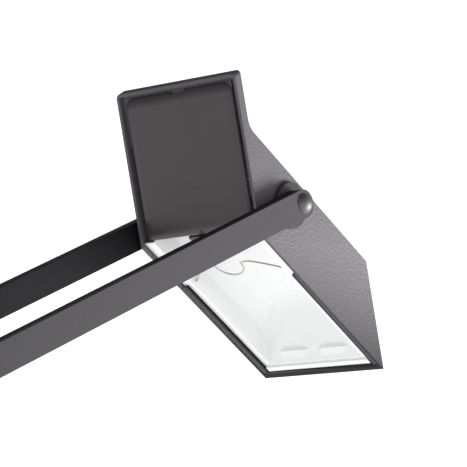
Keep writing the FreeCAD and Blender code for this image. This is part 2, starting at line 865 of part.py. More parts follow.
def make_terminals():
    """The terminal block between the inlet, the switch and the transformer, and its screws."""
    floor = size("pad_height") + size("plate_height")
    half_x = size("terminal_length") / 2
    near = -size("core_width") / 2 - size("coil_overhang") - size("terminal_width") - 2
    body = block("terminal_body", ((-half_x, half_x), (near, near + size("terminal_width")),
                                   (floor, floor + size("terminal_height"))))
    ways = []
    screws = []
    top = floor + size("terminal_height")
    middle = near + size("terminal_width") / 2
    well_floor = floor + size("terminal_well_floor")
    for index in range(WAY_COUNT):
        x = (index - 1) * size("terminal_length") / WAY_COUNT
        ways.append(rod(f"terminal_way_{index}", size("terminal_way_radius"), near - 1,
                        near + size("terminal_width") + 1, (x, 0, floor + size("terminal_way_height")), "y"))
        ways.append(rod(f"terminal_well_{index}", size("terminal_well_radius"), well_floor, top + 1,
                        (x, middle, 0), "z"))
        screws.append(rod(f"terminal_screw_{index}", size("terminal_screw_radius"),
                          well_floor + size("end_play"), top - size("terminal_screw_sink"), (x, middle,
                                                                                             0), "z"))
    node("terminal_block", carve("terminal_cut", body, ways))
    node("terminal_screws", screws)


def make_gland():
    """The cord inlet at the back of the base: a flanged bush and the nut behind the wall."""
    face = -size("base_radius")
    height = size("gland_height")
    centre = (0, 0, height)
    inside = face + size("base_wall") + size("gland_reach")
    rim = face - size("gland_flange_gauge")
    tube = rod("gland_tube", size("gland_radius"), rim, inside, centre, "x")
    flange = rod("gland_flange", size("gland_flange_radius"), rim, face + 0.0, centre, "x")
    bore = rod("gland_bore_cut", size("gland_bore"), rim - 1, inside + 1, centre, "x")
    cover = size("gland_flange_radius") + 1
    round_wall = rod("gland_wall", size("base_radius"), height - cover, height + cover, (0, 0, 0), "z")
    flange_outside = carve("gland_flange_seated", flange, [round_wall])
    node("cord_gland", carve("gland_cut", join("gland_solid", [tube, flange_outside]), [bore]))
    nut_low = face + size("base_wall") + size("gland_nut_gap")
    nut_high = nut_low + size("gland_nut_gauge")
    nut = hexagon("gland_nut_hex", size("gland_flange_radius"), nut_low, nut_high, centre, "x")
    nut_bore = rod("gland_nut_bore", size("gland_radius") + size("seat_fit"), nut_low - 1, nut_high + 1,
                   centre, "x")
    node("gland_nut", carve("gland_nut_cut", nut, [nut_bore]))


def make_switch():
    """A rocker switch let into the top of the base."""
    top = size("base_top")
    centre = size("switch_at")
    half_x = size("switch_width") / 2
    half_y = size("switch_length") / 2
    rim = size("switch_rim")
    wall = size("switch_wall")
    body_x = half_x - rim - size("seat_fit")
    body_y = half_y - rim - size("seat_fit")
    low = top - size("switch_depth")
    bezel = soften(
        "switch_bezel_rounded",
        block("switch_bezel", ((centre - half_x, centre + half_x), (-half_y, half_y), (top, top + rim))),
        num("switch_edge"), lambda middle, edge: middle.z > top.number + NEAR,
    )
    body = block("switch_body", ((centre - body_x, centre + body_x), (-body_y, body_y), (low, top + rim / 2)))
    well_x = body_x - wall
    well_y = body_y - wall
    well = block("switch_well", ((centre - well_x, centre + well_x), (-well_y, well_y),
                                 (low + wall, top + rim + 1)))
    axle_height = top - 1
    seat = rod("switch_seat", size("rocker_pin_radius") + size("running_fit"), centre - well_x - wall / 2,
               centre + well_x + wall / 2, (0, 0, axle_height), "x")
    node("switch_frame", carve("switch_frame_cut", join("switch_frame_solid", [bezel, body]), [well, seat]))
    rocker_x = well_x - size("rocker_gap")
    rocker_y = well_y - size("rocker_end_gap")
    paddle = block("rocker_paddle", ((centre - rocker_x, centre + rocker_x), (-rocker_y, rocker_y),
                                     (axle_height - 2, axle_height + size("rocker_rise"))))
    dish = size("rocker_dish_radius")
    hollow_top = rod("rocker_hollow", dish, centre - half_x, centre + half_x,
                     (0, 0, axle_height + size("rocker_dish_floor") + dish), "x")
    dished = soften(
        "rocker_rounded", carve("rocker_dished", paddle, [hollow_top]), num("rocker_edge"),
        lambda middle, edge: middle.z > axle_height.number + 1 and edge.Length > num("rocker_rise"),
    )
    stem_half = size("rocker_stem_half")
    stem = block("rocker_stem", ((centre - rocker_x, centre + rocker_x), (-stem_half, stem_half),
                                 (axle_height - size("rocker_stem_drop"), axle_height)))
    axle = rod("rocker_axle", size("rocker_pin_radius"), centre - well_x - wall / 2 + size("end_play"),
               centre + well_x + wall / 2 - size("end_play"), (0, 0, axle_height), "x")
    rocker = join("rocker_solid", [dished, stem, axle])
    turn = FreeCAD.Rotation(FreeCAD.Vector(1, 0, 0), -num("rocker_travel") / 2.0)
    hinge = FreeCAD.Vector(0, 0, axle_height.number)
    node("switch_rocker", rocker, FreeCAD.Placement(hinge - turn.multVec(hinge), turn))
    blades = []
    blade_x = size("blade_half_width")
    blade_y = size("blade_half_gauge")
    for index in range(WAY_COUNT):
        y = (index - 1) * size("blade_spacing")
        blades.append(block(f"switch_blade_{index}", ((centre - blade_x, centre + blade_x),
                                                      (y - blade_y, y + blade_y),
                                                      (low - size("blade_length"), low))))
    node("switch_blades", blades)


# ---------------------------------------------------------------- head

def shell_outline():
    """The head from the side: aperture edge, end wall, roof, raked back, top and raked front."""
    length = size("aperture_length")
    depth = size("box_depth")
    reach = size("grip_reach")
    rake = size("grip_depth") * ROOT_TWO
    crown = size("grip_crown")
    return [(0, 0), (length, 0), (length - depth, depth), (rake - depth, depth),
            (crown - reach, reach + rake - crown), (-reach, reach)]


def cavity_outline(wall):
    """The room inside the shell, running out through the aperture and the raked front."""
    wall = Size.of(wall)
    length = size("aperture_length") - wall * ROOT_TWO
    roof = size("box_depth") - wall
    rake = (size("grip_depth") - wall) * ROOT_TWO
    # the crown slopes back by grip_crown over the full thickness of the grip plate
    top = size("grip_reach") - wall * CROWN_SHARE
    slope = size("grip_crown") / (size("grip_depth") * ROOT_TWO)
    runout = 2.0
    return [(-1, -1), (length + 1, -1), (length - roof, roof), (rake - roof, roof),
            (slope * rake - top, top + rake - slope * rake),
            (-1 * top - slope * runout, top - runout + slope * runout)]


def make_head_shell():
    """The painted shell: side walls, roof, end wall, grip plate and return lips."""
    face = head_face
    wall = size("shell_wall")
    outer = outline_body("shell_outer", shell_outline(), -face, face)
    depth = num("box_depth")
    rake = num("grip_depth") * ROOT_TWO
    bend_x = rake - depth
    bent = soften(
        "shell_bent", outer, num("bend_radius"),
        lambda middle, edge: abs(middle.x - bend_x) < NEAR and abs(middle.z - depth) < NEAR,
    )
    crown_middle = num("grip_reach") - num("grip_crown") / 2.0
    cornered = soften(
        "shell_cornered", bent, num("corner_radius"),
        lambda middle, edge: abs(middle.x + crown_middle) < NEAR and abs(middle.y) > face.number - NEAR,
    )
    room = outline_body("shell_room", cavity_outline(wall), -(face - wall), face - wall)
    room_bend_z = depth - num("shell_wall")
    room_bend_x = (num("grip_depth") - num("shell_wall")) * ROOT_TWO - room_bend_z
    room_bent = soften(
        "shell_room_bent", room, num("bend_radius") + num("shell_wall"),
        lambda middle, edge: abs(middle.x - room_bend_x) < NEAR and abs(middle.z - room_bend_z) < NEAR,
    )
    hollow = carve("shell_hollow", cornered, [room_bent])
    lip_low = size("lip_level")
    lip_high = lip_low + size("lip_gauge")
    lip_inner = face - wall - size("lip_width")
    lip_end = size("aperture_length") - wall * ROOT_TWO - size("lip_setback")
    lips = [
        block("near_lip", ((size("near_lip_start"), lip_end), (-face + wall / 2, -lip_inner),
                           (lip_low, lip_high))),
        block("far_lip", ((size("far_lip_start"), lip_end), (lip_inner, face - wall / 2),
                          (lip_low, lip_high))),
    ]
    solid = join("shell_solid", [hollow] + lips)
    centre = (size("pivot_along"), 0, size("pivot_above"))
    holes = pair(lambda side, sign: rod("shell_pivot_hole_" + side, size("screw_radius") + size("seat_fit"),
                                        *span(face - wall - 1, wall + 2, sign), centre, "y"))
    node("head_shell", carve("shell_drilled", solid, holes), head_place)


# The rake frame: +X runs up the front from the aperture edge, +Z points out of the front.
rake_place = FreeCAD.Placement(FreeCAD.Vector(0, 0, 0), FreeCAD.Rotation(FreeCAD.Vector(0, 1, 0), RAKE_TURN))


def make_head_cover():
    """The moulded cover that fills the grip plate, with rounded edges and a release slot."""
    half = head_face - size("shell_wall") - size("cover_side_gap")
    low = size("cover_start")
    high = (size("grip_reach") - size("shell_wall") * CROWN_SHARE) * ROOT_TWO - size("cover_groove")
    front = size("cover_lift")
    back = front - size("cover_gauge") + size("cover_seat")
    plate = block("cover_plate", ((low, high), (-half, half), (back, front)))
    rounded = soften(
        "cover_rounded", plate, num("cover_edge"),
        lambda middle, edge: middle.z > front.number - NEAR,
    )
    slot_half = size("cover_slot_width") / 2
    slot = block("cover_slot", ((high - size("cover_slot_length"), high + 1), (-slot_half, slot_half),
                                (back - 1, front + 1)))
    notch = hexagon("cover_notch", size("cover_notch_radius"), back - 1, front + 1,
                    (low, size("cover_notch_across"), 0), "z")
    item = carve("cover_cut", rounded, [slot, notch])
    node("head_cover", item, head_place.multiply(rake_place))


def make_cover_screws():
    """Two pan-headed screws that hold the cover from behind the grip plate."""
    back = -size("grip_depth")
    along = size("grip_reach") * ROOT_TWO - size("cover_screw_drop")

    def one(side, sign):
        centre = (along, sign * size("cover_screw_spread"), 0)
        return rod("cover_screw_" + side, size("cover_screw_radius"), back - size("cover_screw_height"), back,
                   centre, "z")
    node("cover_screws", pair(one), head_place.multiply(rake_place))


def reflector_outline(inset, rear):
    """The reflector's trough from the side, inset by its gauge for the inner face."""
    inset = Size.of(inset)
    clear = size("shell_wall") * ROOT_TWO + size("end_wall_setback")
    low = size("rim_seat")
    top = low + size("reflector_depth") - inset
    length = size("aperture_length") - clear - inset * ROOT_TWO
    return [(rear - low, low), (length - low, low), (length - top, top), (rear - top, top)]


def make_reflector():
    """A white pan, open at the rear, with a rim, a louvred end wall and a notch for the lamp holder."""
    half = size("reflector_half")
    gauge = size("reflector_gauge")
    rear = size("reflector_rear")
    inner_half = half - gauge
    outer = outline_body("reflector_outer", reflector_outline(0, rear), -half, half)
    inner = outline_body("reflector_inner", reflector_outline(gauge, rear - size("reflector_overcut")),
                         -inner_half, inner_half)
    top = num("rim_seat") + num("reflector_depth")

    def rounded(name, base, roof, radius):
        return soften(name, base, radius, lambda middle, edge: (
            abs(middle.z - roof) < NEAR and (abs(middle.y) > 1.0 or middle.x > roof)
        ))
    radius = num("reflector_radius")
    smooth_outer = rounded("reflector_outer_round", outer, top, radius)
    smooth_inner = rounded("reflector_inner_round", inner, top - gauge.number, radius - gauge.number)
    rim_low = size("rim_seat")
    rim_edge = head_face - size("shell_wall") - size("rim_side_gap")
    end = size("aperture_length") - size("shell_wall") * ROOT_TWO - size("rim_setback")
    rim = block("reflector_rim", ((rear - rim_low, end), (-rim_edge, rim_edge), (rim_low, rim_low + gauge)))
    apron_half = rim_edge - size("lip_width") - size("lip_level")
    apron_low = rim_low - size("apron_drop")
    apron_start = end - size("apron_lap")
    apron = block("reflector_apron", ((apron_start, end + size("apron_reach")), (-apron_half, apron_half),
                                      (apron_low, apron_low + size("apron_gauge"))))
    apron_step = block("reflector_apron_step", ((apron_start, apron_start + size("apron_gauge")),
                                                (-apron_half, apron_half), (apron_low, rim_low + gauge)))
    solid = join("reflector_solid", [smooth_outer, rim, apron, apron_step])
    mouth_end = end - gauge * ROOT_TWO - size("mouth_setback")
    mouth = block("reflector_mouth", ((0, mouth_end), (-inner_half, inner_half), (0, rim_low + gauge)))
    notch_half = size("holder_width") / 2 + size("holder_notch_side")
    cutters = [smooth_inner, mouth]
    cutters.append(block("holder_notch", ((-size("aperture_length"), size("holder_notch_end")),
                                          (-notch_half, notch_half), (1.0, top + 2))))
    width = size("louvre_width")
    for side, sign in SIDES:
        y_low, y_high = span(size("louvre_spacing"), width, sign)
        cutters.append(louvre("louvre_" + side, y_low, y_high))
    node("reflector", carve("reflector_cut", solid, cutters), head_place)


def louvre(name, y_low, y_high):
    """A slot through the raked end wall of the reflector."""
    foot = num("aperture_length") - num("shell_wall") * ROOT_TWO - num("louvre_setback")
    low = size("louvre_start")
    item = block(name, ((low, low + size("louvre_height")), (y_low, y_high),
                        (-size("louvre_cut"), size("louvre_cut"))))
    holder = doc.addObject("Part::Compound", name + "_raked")
    holder.Links = [item]
    turn = FreeCAD.Rotation(FreeCAD.Vector(0, 1, 0), RAKE_TURN)
    holder.Placement = FreeCAD.Placement(FreeCAD.Vector(foot, 0, 0), turn)
    return holder


def make_lamp_holder():
    """The heat-proof holder, its contacts, its bracket and the bracket's screw."""
    half = size("holder_width") / 2
    length = size("holder_length")
    low = size("holder_low")
    high = low + size("holder_height")
    back = size("holder_back")
    front = back + length
    body = soften(
        "holder_rounded",
        block("holder_block", ((back, front), (-half, half), (low, high))),
        num("holder_edge"), lambda middle, edge: abs(middle.y) > half.number - NEAR,
    )
    middle_z = low + size("holder_height") / 2
    spread = num("socket_spread")
    socket_end = front - size("socket_depth")
    sockets = [
        rod(f"holder_socket_{index}", size("socket_radius"), socket_end, front + 1, (0, y, middle_z), "x")
        for index, y in enumerate((-spread, spread))
    ]
    node("lamp_holder", carve("holder_cut", body, sockets), head_place)
    contacts = []
    for index, y in enumerate((-spread, spread)):
        tip = front - size("contact_recess")
        sleeve = rod(f"contact_sleeve_{index}", size("contact_radius"), socket_end + size("end_play"), tip,
                     (0, y, middle_z), "x")
        bore = rod(f"contact_bore_{index}", size("contact_bore"), socket_end + 1, front, (0, y,
                                                                                          middle_z), "x")
        contacts.append(carve(f"contact_{index}", sleeve, [bore]))
    node("lamp_contacts", contacts, head_place)
    roof = size("box_depth") - size("shell_wall")
    gauge = size("bracket_gauge")
    arm = size("bracket_half")
    start = back + size("bracket_setback")
    stem = block("bracket_stem", ((start, start + gauge), (-arm, arm), (high, roof)))
    foot = block("bracket_foot", ((start, front), (-arm, arm), (high, high + gauge)))
    flange = block("bracket_flange", ((start, front), (-arm, arm), (roof - gauge, roof)))
    node("holder_bracket", join("bracket_solid", [stem, foot, flange]), head_place)
    screw_high = roof - gauge
    screw = rod("bracket_screw_head", size("bracket_screw_radius"), screw_high - size("bracket_screw_height"),
                screw_high, ((start + front) / 2 + gauge / 2, 0, 0), "z")
    node("bracket_screw", screw, head_place)


def make_lamp_clip():
    """The spring wire across the reflector: a straight near leg, a half loop and a hooked far leg."""
    foot = num("clip_foot_along")
    foot_level = num("clip_foot_level")
    level = num("clip_level")
    along = num("clip_loop_along")
    across = num("clip_loop_across")
    radius = num("clip_loop_radius")
    reach = num("reflector_half") - num("clip_foot_gap")
    path = [FreeCAD.Vector(foot, -reach, foot_level)]
    for degrees in range(-90, 91, 30):
        angle = math.radians(degrees)
        path.append(FreeCAD.Vector(along + radius * math.cos(angle), across + radius * math.sin(angle),
                                   level))
    path.append(FreeCAD.Vector(along - num("clip_hook_back"), across + radius + 2 * num("clip_foot_gap"),
                               (level + foot_level) / 2.0))
    path.append(FreeCAD.Vector(foot, reach, foot_level))
    wire = wire_form("lamp_clip_wire", path, num("clip_radius"))
    node("lamp_clip", wire, head_place)


def make_head_leads():
    """The two insulated leads from the pivot nuts, under the roof, to the back of the lamp holder."""
    centre = pivot_in_head
    entry = num("head_width") / 2.0 - num("shell_wall") - num("nut_height")
    roof = num("box_depth") - num("shell_wall")
    crossing = roof - num("lead_roof_gap")
    tap = num("lead_tap_offset")
    back = num("holder_back")
    spread = num("socket_spread")
    level = num("holder_low") + 0.75 * num("holder_height")
    pieces = []
    for side, sign in SIDES:
        path = [
            FreeCAD.Vector(centre.x - tap, sign * entry, centre.z + tap),
            FreeCAD.Vector(centre.x - tap, sign * (entry - tap), centre.z + tap),
            FreeCAD.Vector(centre.x - 3 * tap, sign * (entry - 2 * tap), crossing),
            FreeCAD.Vector(back - 4 * tap, sign * (entry + spread) / 3.0, crossing - tap),
            FreeCAD.Vector(back - 4 * tap, sign * (spread + 1), (crossing + level) / 2.0),
            FreeCAD.Vector(back - 2 * tap, sign * spread, level),
            FreeCAD.Vector(back, sign * spread, level),
        ]
        pieces.append(wire_form("head_lead_" + side, path, num("lead_radius")))
    node("head_leads", pieces, head_place)


def make_head():
    """Every sub-part of the head, with the screws that it turns on."""
    make_head_shell()
    make_head_cover()
    make_cover_screws()
    make_reflector()
    make_lamp_holder()
    make_lamp_clip()
    make_head_leads()
    centre = (size("pivot_along"), 0, size("pivot_above"))
    inside = head_face - size("shell_wall")
    pivot_screws("head_screws", upper_outer, inside - size("nut_height") - size("thread_end"), centre,
                 head_place)
    spacer_discs("head_discs", head_face, centre, head_place)
    pivot_nuts("head_nuts", inside, centre, head_place)


def check_and_write():
    """Refuse any failed object or bad shape, then write one STEP file for each sub-part."""
    doc.recompute()
    for item in doc.Objects:
        if "Invalid" in item.State or "Error" in item.State:
            raise RuntimeError(f"{item.Name} failed: {item.State}")
    os.makedirs("parts", exist_ok=True)
    for item in nodes:
        shape = item.Shape
        if shape.isNull() or not shape.isValid() or not shape.Solids:
            raise RuntimeError(f"{item.Label} has no valid solid")
        shape.exportStep(os.path.join("parts", item.Label + ".step"))
    print(f"{len(nodes)} sub-parts written")


make_base_housing()
make_base_plate()
make_swivel_bush()
make_transformer()
make_terminals()
make_gland()
make_switch()
make_turret()
make_arms()
make_head()
check_and_write()
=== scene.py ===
import json
import logging
import math
from dataclasses import dataclass, field
from enum import Enum
from typing import Optional, Sequence, Union

import bpy
import numpy as np
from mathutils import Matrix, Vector


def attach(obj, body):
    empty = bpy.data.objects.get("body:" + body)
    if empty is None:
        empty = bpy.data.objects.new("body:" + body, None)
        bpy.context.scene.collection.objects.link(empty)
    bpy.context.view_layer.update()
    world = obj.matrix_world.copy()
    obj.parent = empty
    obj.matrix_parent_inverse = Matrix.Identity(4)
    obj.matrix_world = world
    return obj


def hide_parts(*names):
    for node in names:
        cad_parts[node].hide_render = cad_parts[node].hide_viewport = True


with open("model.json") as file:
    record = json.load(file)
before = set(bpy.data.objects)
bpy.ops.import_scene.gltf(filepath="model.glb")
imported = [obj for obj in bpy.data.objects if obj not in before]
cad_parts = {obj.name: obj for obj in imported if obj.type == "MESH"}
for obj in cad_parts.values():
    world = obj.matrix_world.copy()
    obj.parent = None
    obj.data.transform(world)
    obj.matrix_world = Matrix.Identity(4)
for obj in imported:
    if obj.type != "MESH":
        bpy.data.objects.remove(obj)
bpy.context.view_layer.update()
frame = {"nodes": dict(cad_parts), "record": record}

LOG = logging.getLogger("desk_lamp")
MM = 0.001
Number = Union[int, float]


# ------------------------------------------------------------------ shader maths

class Signal:
    """A shader socket that can be used in sums, differences, products and powers."""

    def __init__(self, tree: bpy.types.NodeTree, socket: bpy.types.NodeSocket) -> None:
        """Keeps the node tree and the output socket."""
        self.tree = tree
        self.socket = socket

    def _maths(self, operation: str, *terms: Union["Signal", Number]) -> "Signal":
        """Adds one Math node.

        Args:
            operation: The Math node's operation.
            terms: Its inputs in order, numbers or signals.

        Returns:
            The node's result.
        """
        made = self.tree.nodes.new("ShaderNodeMath")
        made.operation = operation
        for place, term in zip(made.inputs, terms):
            if isinstance(term, Signal):
                self.tree.links.new(term.socket, place)
            else:
                place.default_value = float(term)
        return Signal(self.tree, made.outputs[0])

    def __add__(self, other: Union["Signal", Number]) -> "Signal":
        """The sum with another value."""
        return self._maths("ADD", self, other)

    __radd__ = __add__

    def __sub__(self, other: Union["Signal", Number]) -> "Signal":
        """The difference from another value."""
        return self._maths("SUBTRACT", self, other)

    def __rsub__(self, other: Number) -> "Signal":
        """A number less this value."""
        return self._maths("SUBTRACT", other, self)

    def __mul__(self, other: Union["Signal", Number]) -> "Signal":
        """The product with another value."""
        return self._maths("MULTIPLY", self, other)

    __rmul__ = __mul__

    def __pow__(self, other: Number) -> "Signal":
        """This value to a power."""
        return self._maths("POWER", self, other)

    def clamped(self, low: Number, high: Number) -> "Signal":
        """This value held between two numbers."""
        return self._maths("MINIMUM", self._maths("MAXIMUM", self, low), high)


class Board:
    """A node tree that is filled by one method."""

    def __init__(self, tree: bpy.types.NodeTree) -> None:
        """Empties the tree."""
        self.tree = tree
        tree.nodes.clear()

    def node(
        self,
        kind: str,
        settings: Optional[dict[str, object]] = None,
        inputs: Optional[dict[Union[str, int], object]] = None,
    ) -> bpy.types.Node:
        """Adds a node.

        Args:
            kind: The node's type name.
            settings: Values set on the node before its sockets are filled. A list under
                "stops" holds a ramp's positions and colours.
            inputs: Socket names or numbers with values, signals or sockets.

        Returns:
            The node.
        """
        made = self.tree.nodes.new(kind)
        for name, value in (settings or {}).items():
            if name == "stops":
                ramp = made.color_ramp
                while len(ramp.elements) < len(value):
                    ramp.elements.new(0.5)
                for element, (position, colour) in zip(ramp.elements, value):
                    element.position = position
                    element.color = (*colour, 1.0)
            else:
                setattr(made, name, value)
        for place, value in (inputs or {}).items():
            socket = made.inputs[place]
            if isinstance(value, Signal):
                self.tree.links.new(value.socket, socket)
            elif isinstance(value, bpy.types.NodeSocket):
                self.tree.links.new(value, socket)
            else:
                socket.default_value = value
        return made

    def signal(self, node: bpy.types.Node, output: Union[str, int] = 0) -> Signal:
        """One output of a node as a signal."""
        return Signal(self.tree, node.outputs[output])

    def blend(self, factor: Signal, low: Sequence[float], high: Sequence[float]) -> bpy.types.NodeSocket:
        """Mixes two colours.

        Args:
            factor: 0 gives the first colour and 1 the second.
            low: The first colour.
            high: The second colour.

        Returns:
            The colour socket.
        """
        made = self.node("ShaderNodeMix", {"data_type": "RGBA"}, {0: factor, 6: (*low, 1.0), 7: (*high, 1.0)})
        return made.outputs[2]


# ------------------------------------------------------------------ finishes

class Grain(Enum):
    """The kinds of fine relief that a surface can have."""

    ORANGE_PEEL = "orange peel"
    MOULDED = "moulded"
    BRUSHED = "brushed"
    CAST = "cast"
    LAMINATED = "laminated"
    WOUND = "wound"


@dataclass(frozen=True)
class Finish:
    """A finish of one colour with cloudy variation, fine relief and dust.

    Attributes:
        name: The finish's name.
        slot: The material slot that it belongs to.
        colour: Linear base colour.
        roughness: Mean roughness.
        metallic: 1 for bare metal.
        grain: The kind of relief.
        pitch: The relief's size in millimetres.
        relief: The relief's depth in millimetres.
        clouding: Share by which the colour wanders.
        coat: Weight of a clear coat.
        coat_roughness: The coat's roughness.
        specular: The specular level.
        mask: A point attribute that blends in mask_colour; both masks in this script paint shade.
        mask_colour: Linear colour under the mask, the painted shade's colour.
        mask_roughness: The roughness under the mask.
    """

    name: str
    slot: str
    colour: tuple[float, float, float]
    roughness: float
    metallic: float = 0.0
    grain: Grain = Grain.MOULDED
    pitch: float = 0.6
    relief: float = 0.01
    clouding: float = 0.08
    coat: float = 0.0
    coat_roughness: float = 0.1
    specular: float = 0.5
    mask: str = ""
    mask_colour: tuple[float, float, float] = (0.02, 0.02, 0.021)
    mask_roughness: float = 0.4

    def _relief(self, board: Board, place: Signal) -> Signal:
        """Builds the relief's height.

        Args:
            board: The material's tree.
            place: Object coordinates.

        Returns:
            The height, about 0 to 1.
        """
        scale = 1.0 / (self.pitch * MM)
        if self.grain is Grain.ORANGE_PEEL:
            cells = board.node("ShaderNodeTexVoronoi", {"feature": "SMOOTH_F1"},
                               {"Vector": place, "Scale": scale, "Smoothness": 0.9})
            fine = board.node("ShaderNodeTexNoise", None, {"Vector": place, "Scale": scale * 2.1, "Detail": 2.0})
            return board.signal(cells, "Distance") + board.signal(fine) * 0.5
        if self.grain is Grain.BRUSHED:
            drawn = board.node("ShaderNodeMapping", None, {"Vector": place, "Scale": (1.0, 0.06, 1.0)})
            lines = board.node("ShaderNodeTexNoise", None,
                               {"Vector": board.signal(drawn), "Scale": scale, "Detail": 3.0})
            return board.signal(lines)
        if self.grain in (Grain.LAMINATED, Grain.WOUND):
            axis = "Y" if self.grain is Grain.LAMINATED else "Z"
            bands = board.node("ShaderNodeTexWave", {"bands_direction": axis},
                               {"Vector": place, "Scale": scale / 20.0, "Distortion": 0.35, "Detail": 2.0})
            return board.signal(bands, "Fac")
        detail = 5.0 if self.grain is Grain.CAST else 2.0
        noise = board.node("ShaderNodeTexNoise", None,
                           {"Vector": place, "Scale": scale, "Detail": detail, "Roughness": 0.6})
        return board.signal(noise)

    def material(self) -> bpy.types.Material:
        """Builds the material.

        Returns:
            A material with procedural colour, roughness and normal.
        """
        made = bpy.data.materials.new(self.name)
        made.use_nodes = True
        board = Board(made.node_tree)
        place = board.signal(board.node("ShaderNodeTexCoord"), "Object")
        height = self._relief(board, place)
        cloud = board.signal(board.node("ShaderNodeTexNoise", None, {"Vector": place, "Scale": 38.0, "Detail": 4.0}))
        dust = board.signal(board.node("ShaderNodeTexNoise", None,
                                       {"Vector": place, "Scale": 900.0, "Detail": 1.0, "Roughness": 0.4}))
        speck = ((dust - 0.66) * 9.0).clamped(0.0, 1.0)
        shade = ((cloud - 0.5) * 1.6 + 0.5 + (height - 0.5) * 0.25).clamped(0.0, 1.0)
        low = [value * (1.0 - self.clouding) for value in self.colour]
        high = [min(1.0, value * (1.0 + self.clouding)) for value in self.colour]
        base = board.blend(shade, low, high)
        dusty = [min(1.0, value * 1.1 + 0.008) for value in self.colour]
        base = board.node("ShaderNodeMix", {"data_type": "RGBA"},
                          {0: speck * 0.35, 6: base, 7: (*dusty, 1.0)}).outputs[2]
        rough = (cloud - 0.5) * 0.16 + (height - 0.5) * 0.05 + speck * 0.08 + self.roughness
        # A mask blends in a dark colour and roughness; the shell and bar finishes use it for painted shade.
        if self.mask:
            inside = board.signal(board.node("ShaderNodeAttribute", {"attribute_name": self.mask}), "Fac")
            base = board.node("ShaderNodeMix", {"data_type": "RGBA"},
                              {0: inside, 6: base, 7: (*self.mask_colour, 1.0)}).outputs[2]
            rough = rough * (1.0 - inside) + inside * self.mask_roughness
        bump = board.node("ShaderNodeBump", None,
                          {"Strength": 1.0, "Distance": self.relief * MM, "Height": height})
        shader = board.node("ShaderNodeBsdfPrincipled", None, {
            "Base Color": base,
            "Roughness": rough.clamped(0.04, 1.0),
            "Metallic": self.metallic,
            "Specular IOR Level": self.specular,
            "Coat Weight": self.coat,
            "Coat Roughness": self.coat_roughness,
            "Normal": bump.outputs[0],
        })
        board.node("ShaderNodeOutputMaterial", None, {"Surface": shader.outputs[0]})
        return made


FINISHES: tuple[Finish, ...] = (
    # Shell: the "lip" mask and its near-black mask colour are painted shade on the return lips in the mouth and on
    # the aperture's bottom edge.
    Finish("shell_powder_coat", "shell_paint", (0.114, 0.108, 0.120), 0.56, grain=Grain.ORANGE_PEEL,
           pitch=0.95, relief=0.13, clouding=0.06, specular=0.3, mask="lip",
           mask_colour=(0.004, 0.004, 0.004), mask_roughness=0.85),
    # Bars: the inner-side mask and its near-black mask colour are painted shade on the bars' inner faces.
    Finish("bar_satin_paint", "bar_paint", (0.062, 0.059, 0.065), 0.62, grain=Grain.ORANGE_PEEL,
           pitch=0.7, relief=0.02, clouding=0.05, specular=0.12, mask="inner_side",
           mask_colour=(0.009, 0.008, 0.010), mask_roughness=0.7),
    Finish("post_satin_paint", "post_paint", (0.10, 0.097, 0.106), 0.45, grain=Grain.ORANGE_PEEL,
           pitch=0.8, relief=0.02, clouding=0.05),
    Finish("cover_moulding", "cover_plastic", (0.052, 0.046, 0.050), 0.36, pitch=0.35, relief=0.006,
           clouding=0.05, specular=0.45),
    Finish("housing_moulding", "housing_plastic", (0.06, 0.058, 0.062), 0.42, pitch=0.4, relief=0.02,
           clouding=0.06),
    Finish("black_moulding", "black_plastic", (0.03, 0.03, 0.032), 0.38, pitch=0.3, relief=0.008),
    Finish("grey_nylon", "nylon", (0.12, 0.12, 0.125), 0.5, pitch=0.5, relief=0.01),
    Finish("white_reflector_enamel", "white_enamel", (0.90, 0.91, 0.905), 0.22, grain=Grain.MOULDED, pitch=2.2,
           relief=0.02, clouding=0.02, coat=0.5, coat_roughness=0.08),
    Finish("blued_screws", "blued_steel", (0.13, 0.13, 0.14), 0.52, metallic=0.7, grain=Grain.BRUSHED,
           pitch=0.25, relief=0.004),
    Finish("bright_zinc", "bright_steel", (0.62, 0.62, 0.63), 0.3, metallic=1.0, grain=Grain.BRUSHED,
           pitch=0.3, relief=0.004),
    Finish("weight_iron_paint", "weight_iron", (0.075, 0.073, 0.08), 0.5, grain=Grain.CAST, pitch=1.6, relief=0.06),
    Finish("core_laminations", "laminated_steel", (0.38, 0.38, 0.4), 0.42, metallic=1.0, grain=Grain.LAMINATED,
           pitch=0.5, relief=0.03),
    Finish("winding_enamel", "coil_wire", (0.62, 0.3, 0.14), 0.3, metallic=0.8, grain=Grain.WOUND, pitch=0.6,
           relief=0.08),
    Finish("turned_brass", "contact_brass", (0.8, 0.66, 0.36), 0.25, metallic=1.0, grain=Grain.BRUSHED,
           pitch=0.2, relief=0.003),
    Finish("spring_wire", "spring_steel", (0.55, 0.53, 0.5), 0.3, metallic=1.0, grain=Grain.BRUSHED,
           pitch=0.2, relief=0.003),
    Finish("pad_rubber_black", "pad_rubber", (0.035, 0.035, 0.036), 0.78, pitch=0.5, relief=0.04),
    Finish("silicone_sleeve", "lead_sleeve", (0.78, 0.76, 0.7), 0.45, pitch=0.4, relief=0.01),
)


class Wardrobe:
    """The finished materials by slot."""

    def __init__(self) -> None:
        """Builds one material for each slot."""
        self.by_slot = {finish.slot: finish.material() for finish in FINISHES}
        parts = frame["record"]["subparts"]
        self.slot_of = {part["node"]: part["material_slot"] for part in parts}

    def dress(self, piece: bpy.types.Object, slot: str) -> None:
        """Gives a piece the material of its slot as its only material."""
        piece.data.materials.clear()
        piece.data.materials.append(self.by_slot[slot])

    def dress_cad_nodes(self) -> None:
        """Dresses every CAD node that is still shown."""
        for name, node in frame["nodes"].items():
            if not node.hide_render:
                node.data = node.data.copy() if node.data.users > 1 else node.data
                self.dress(node, self.slot_of[name])


# ------------------------------------------------------------------ places and surfaces

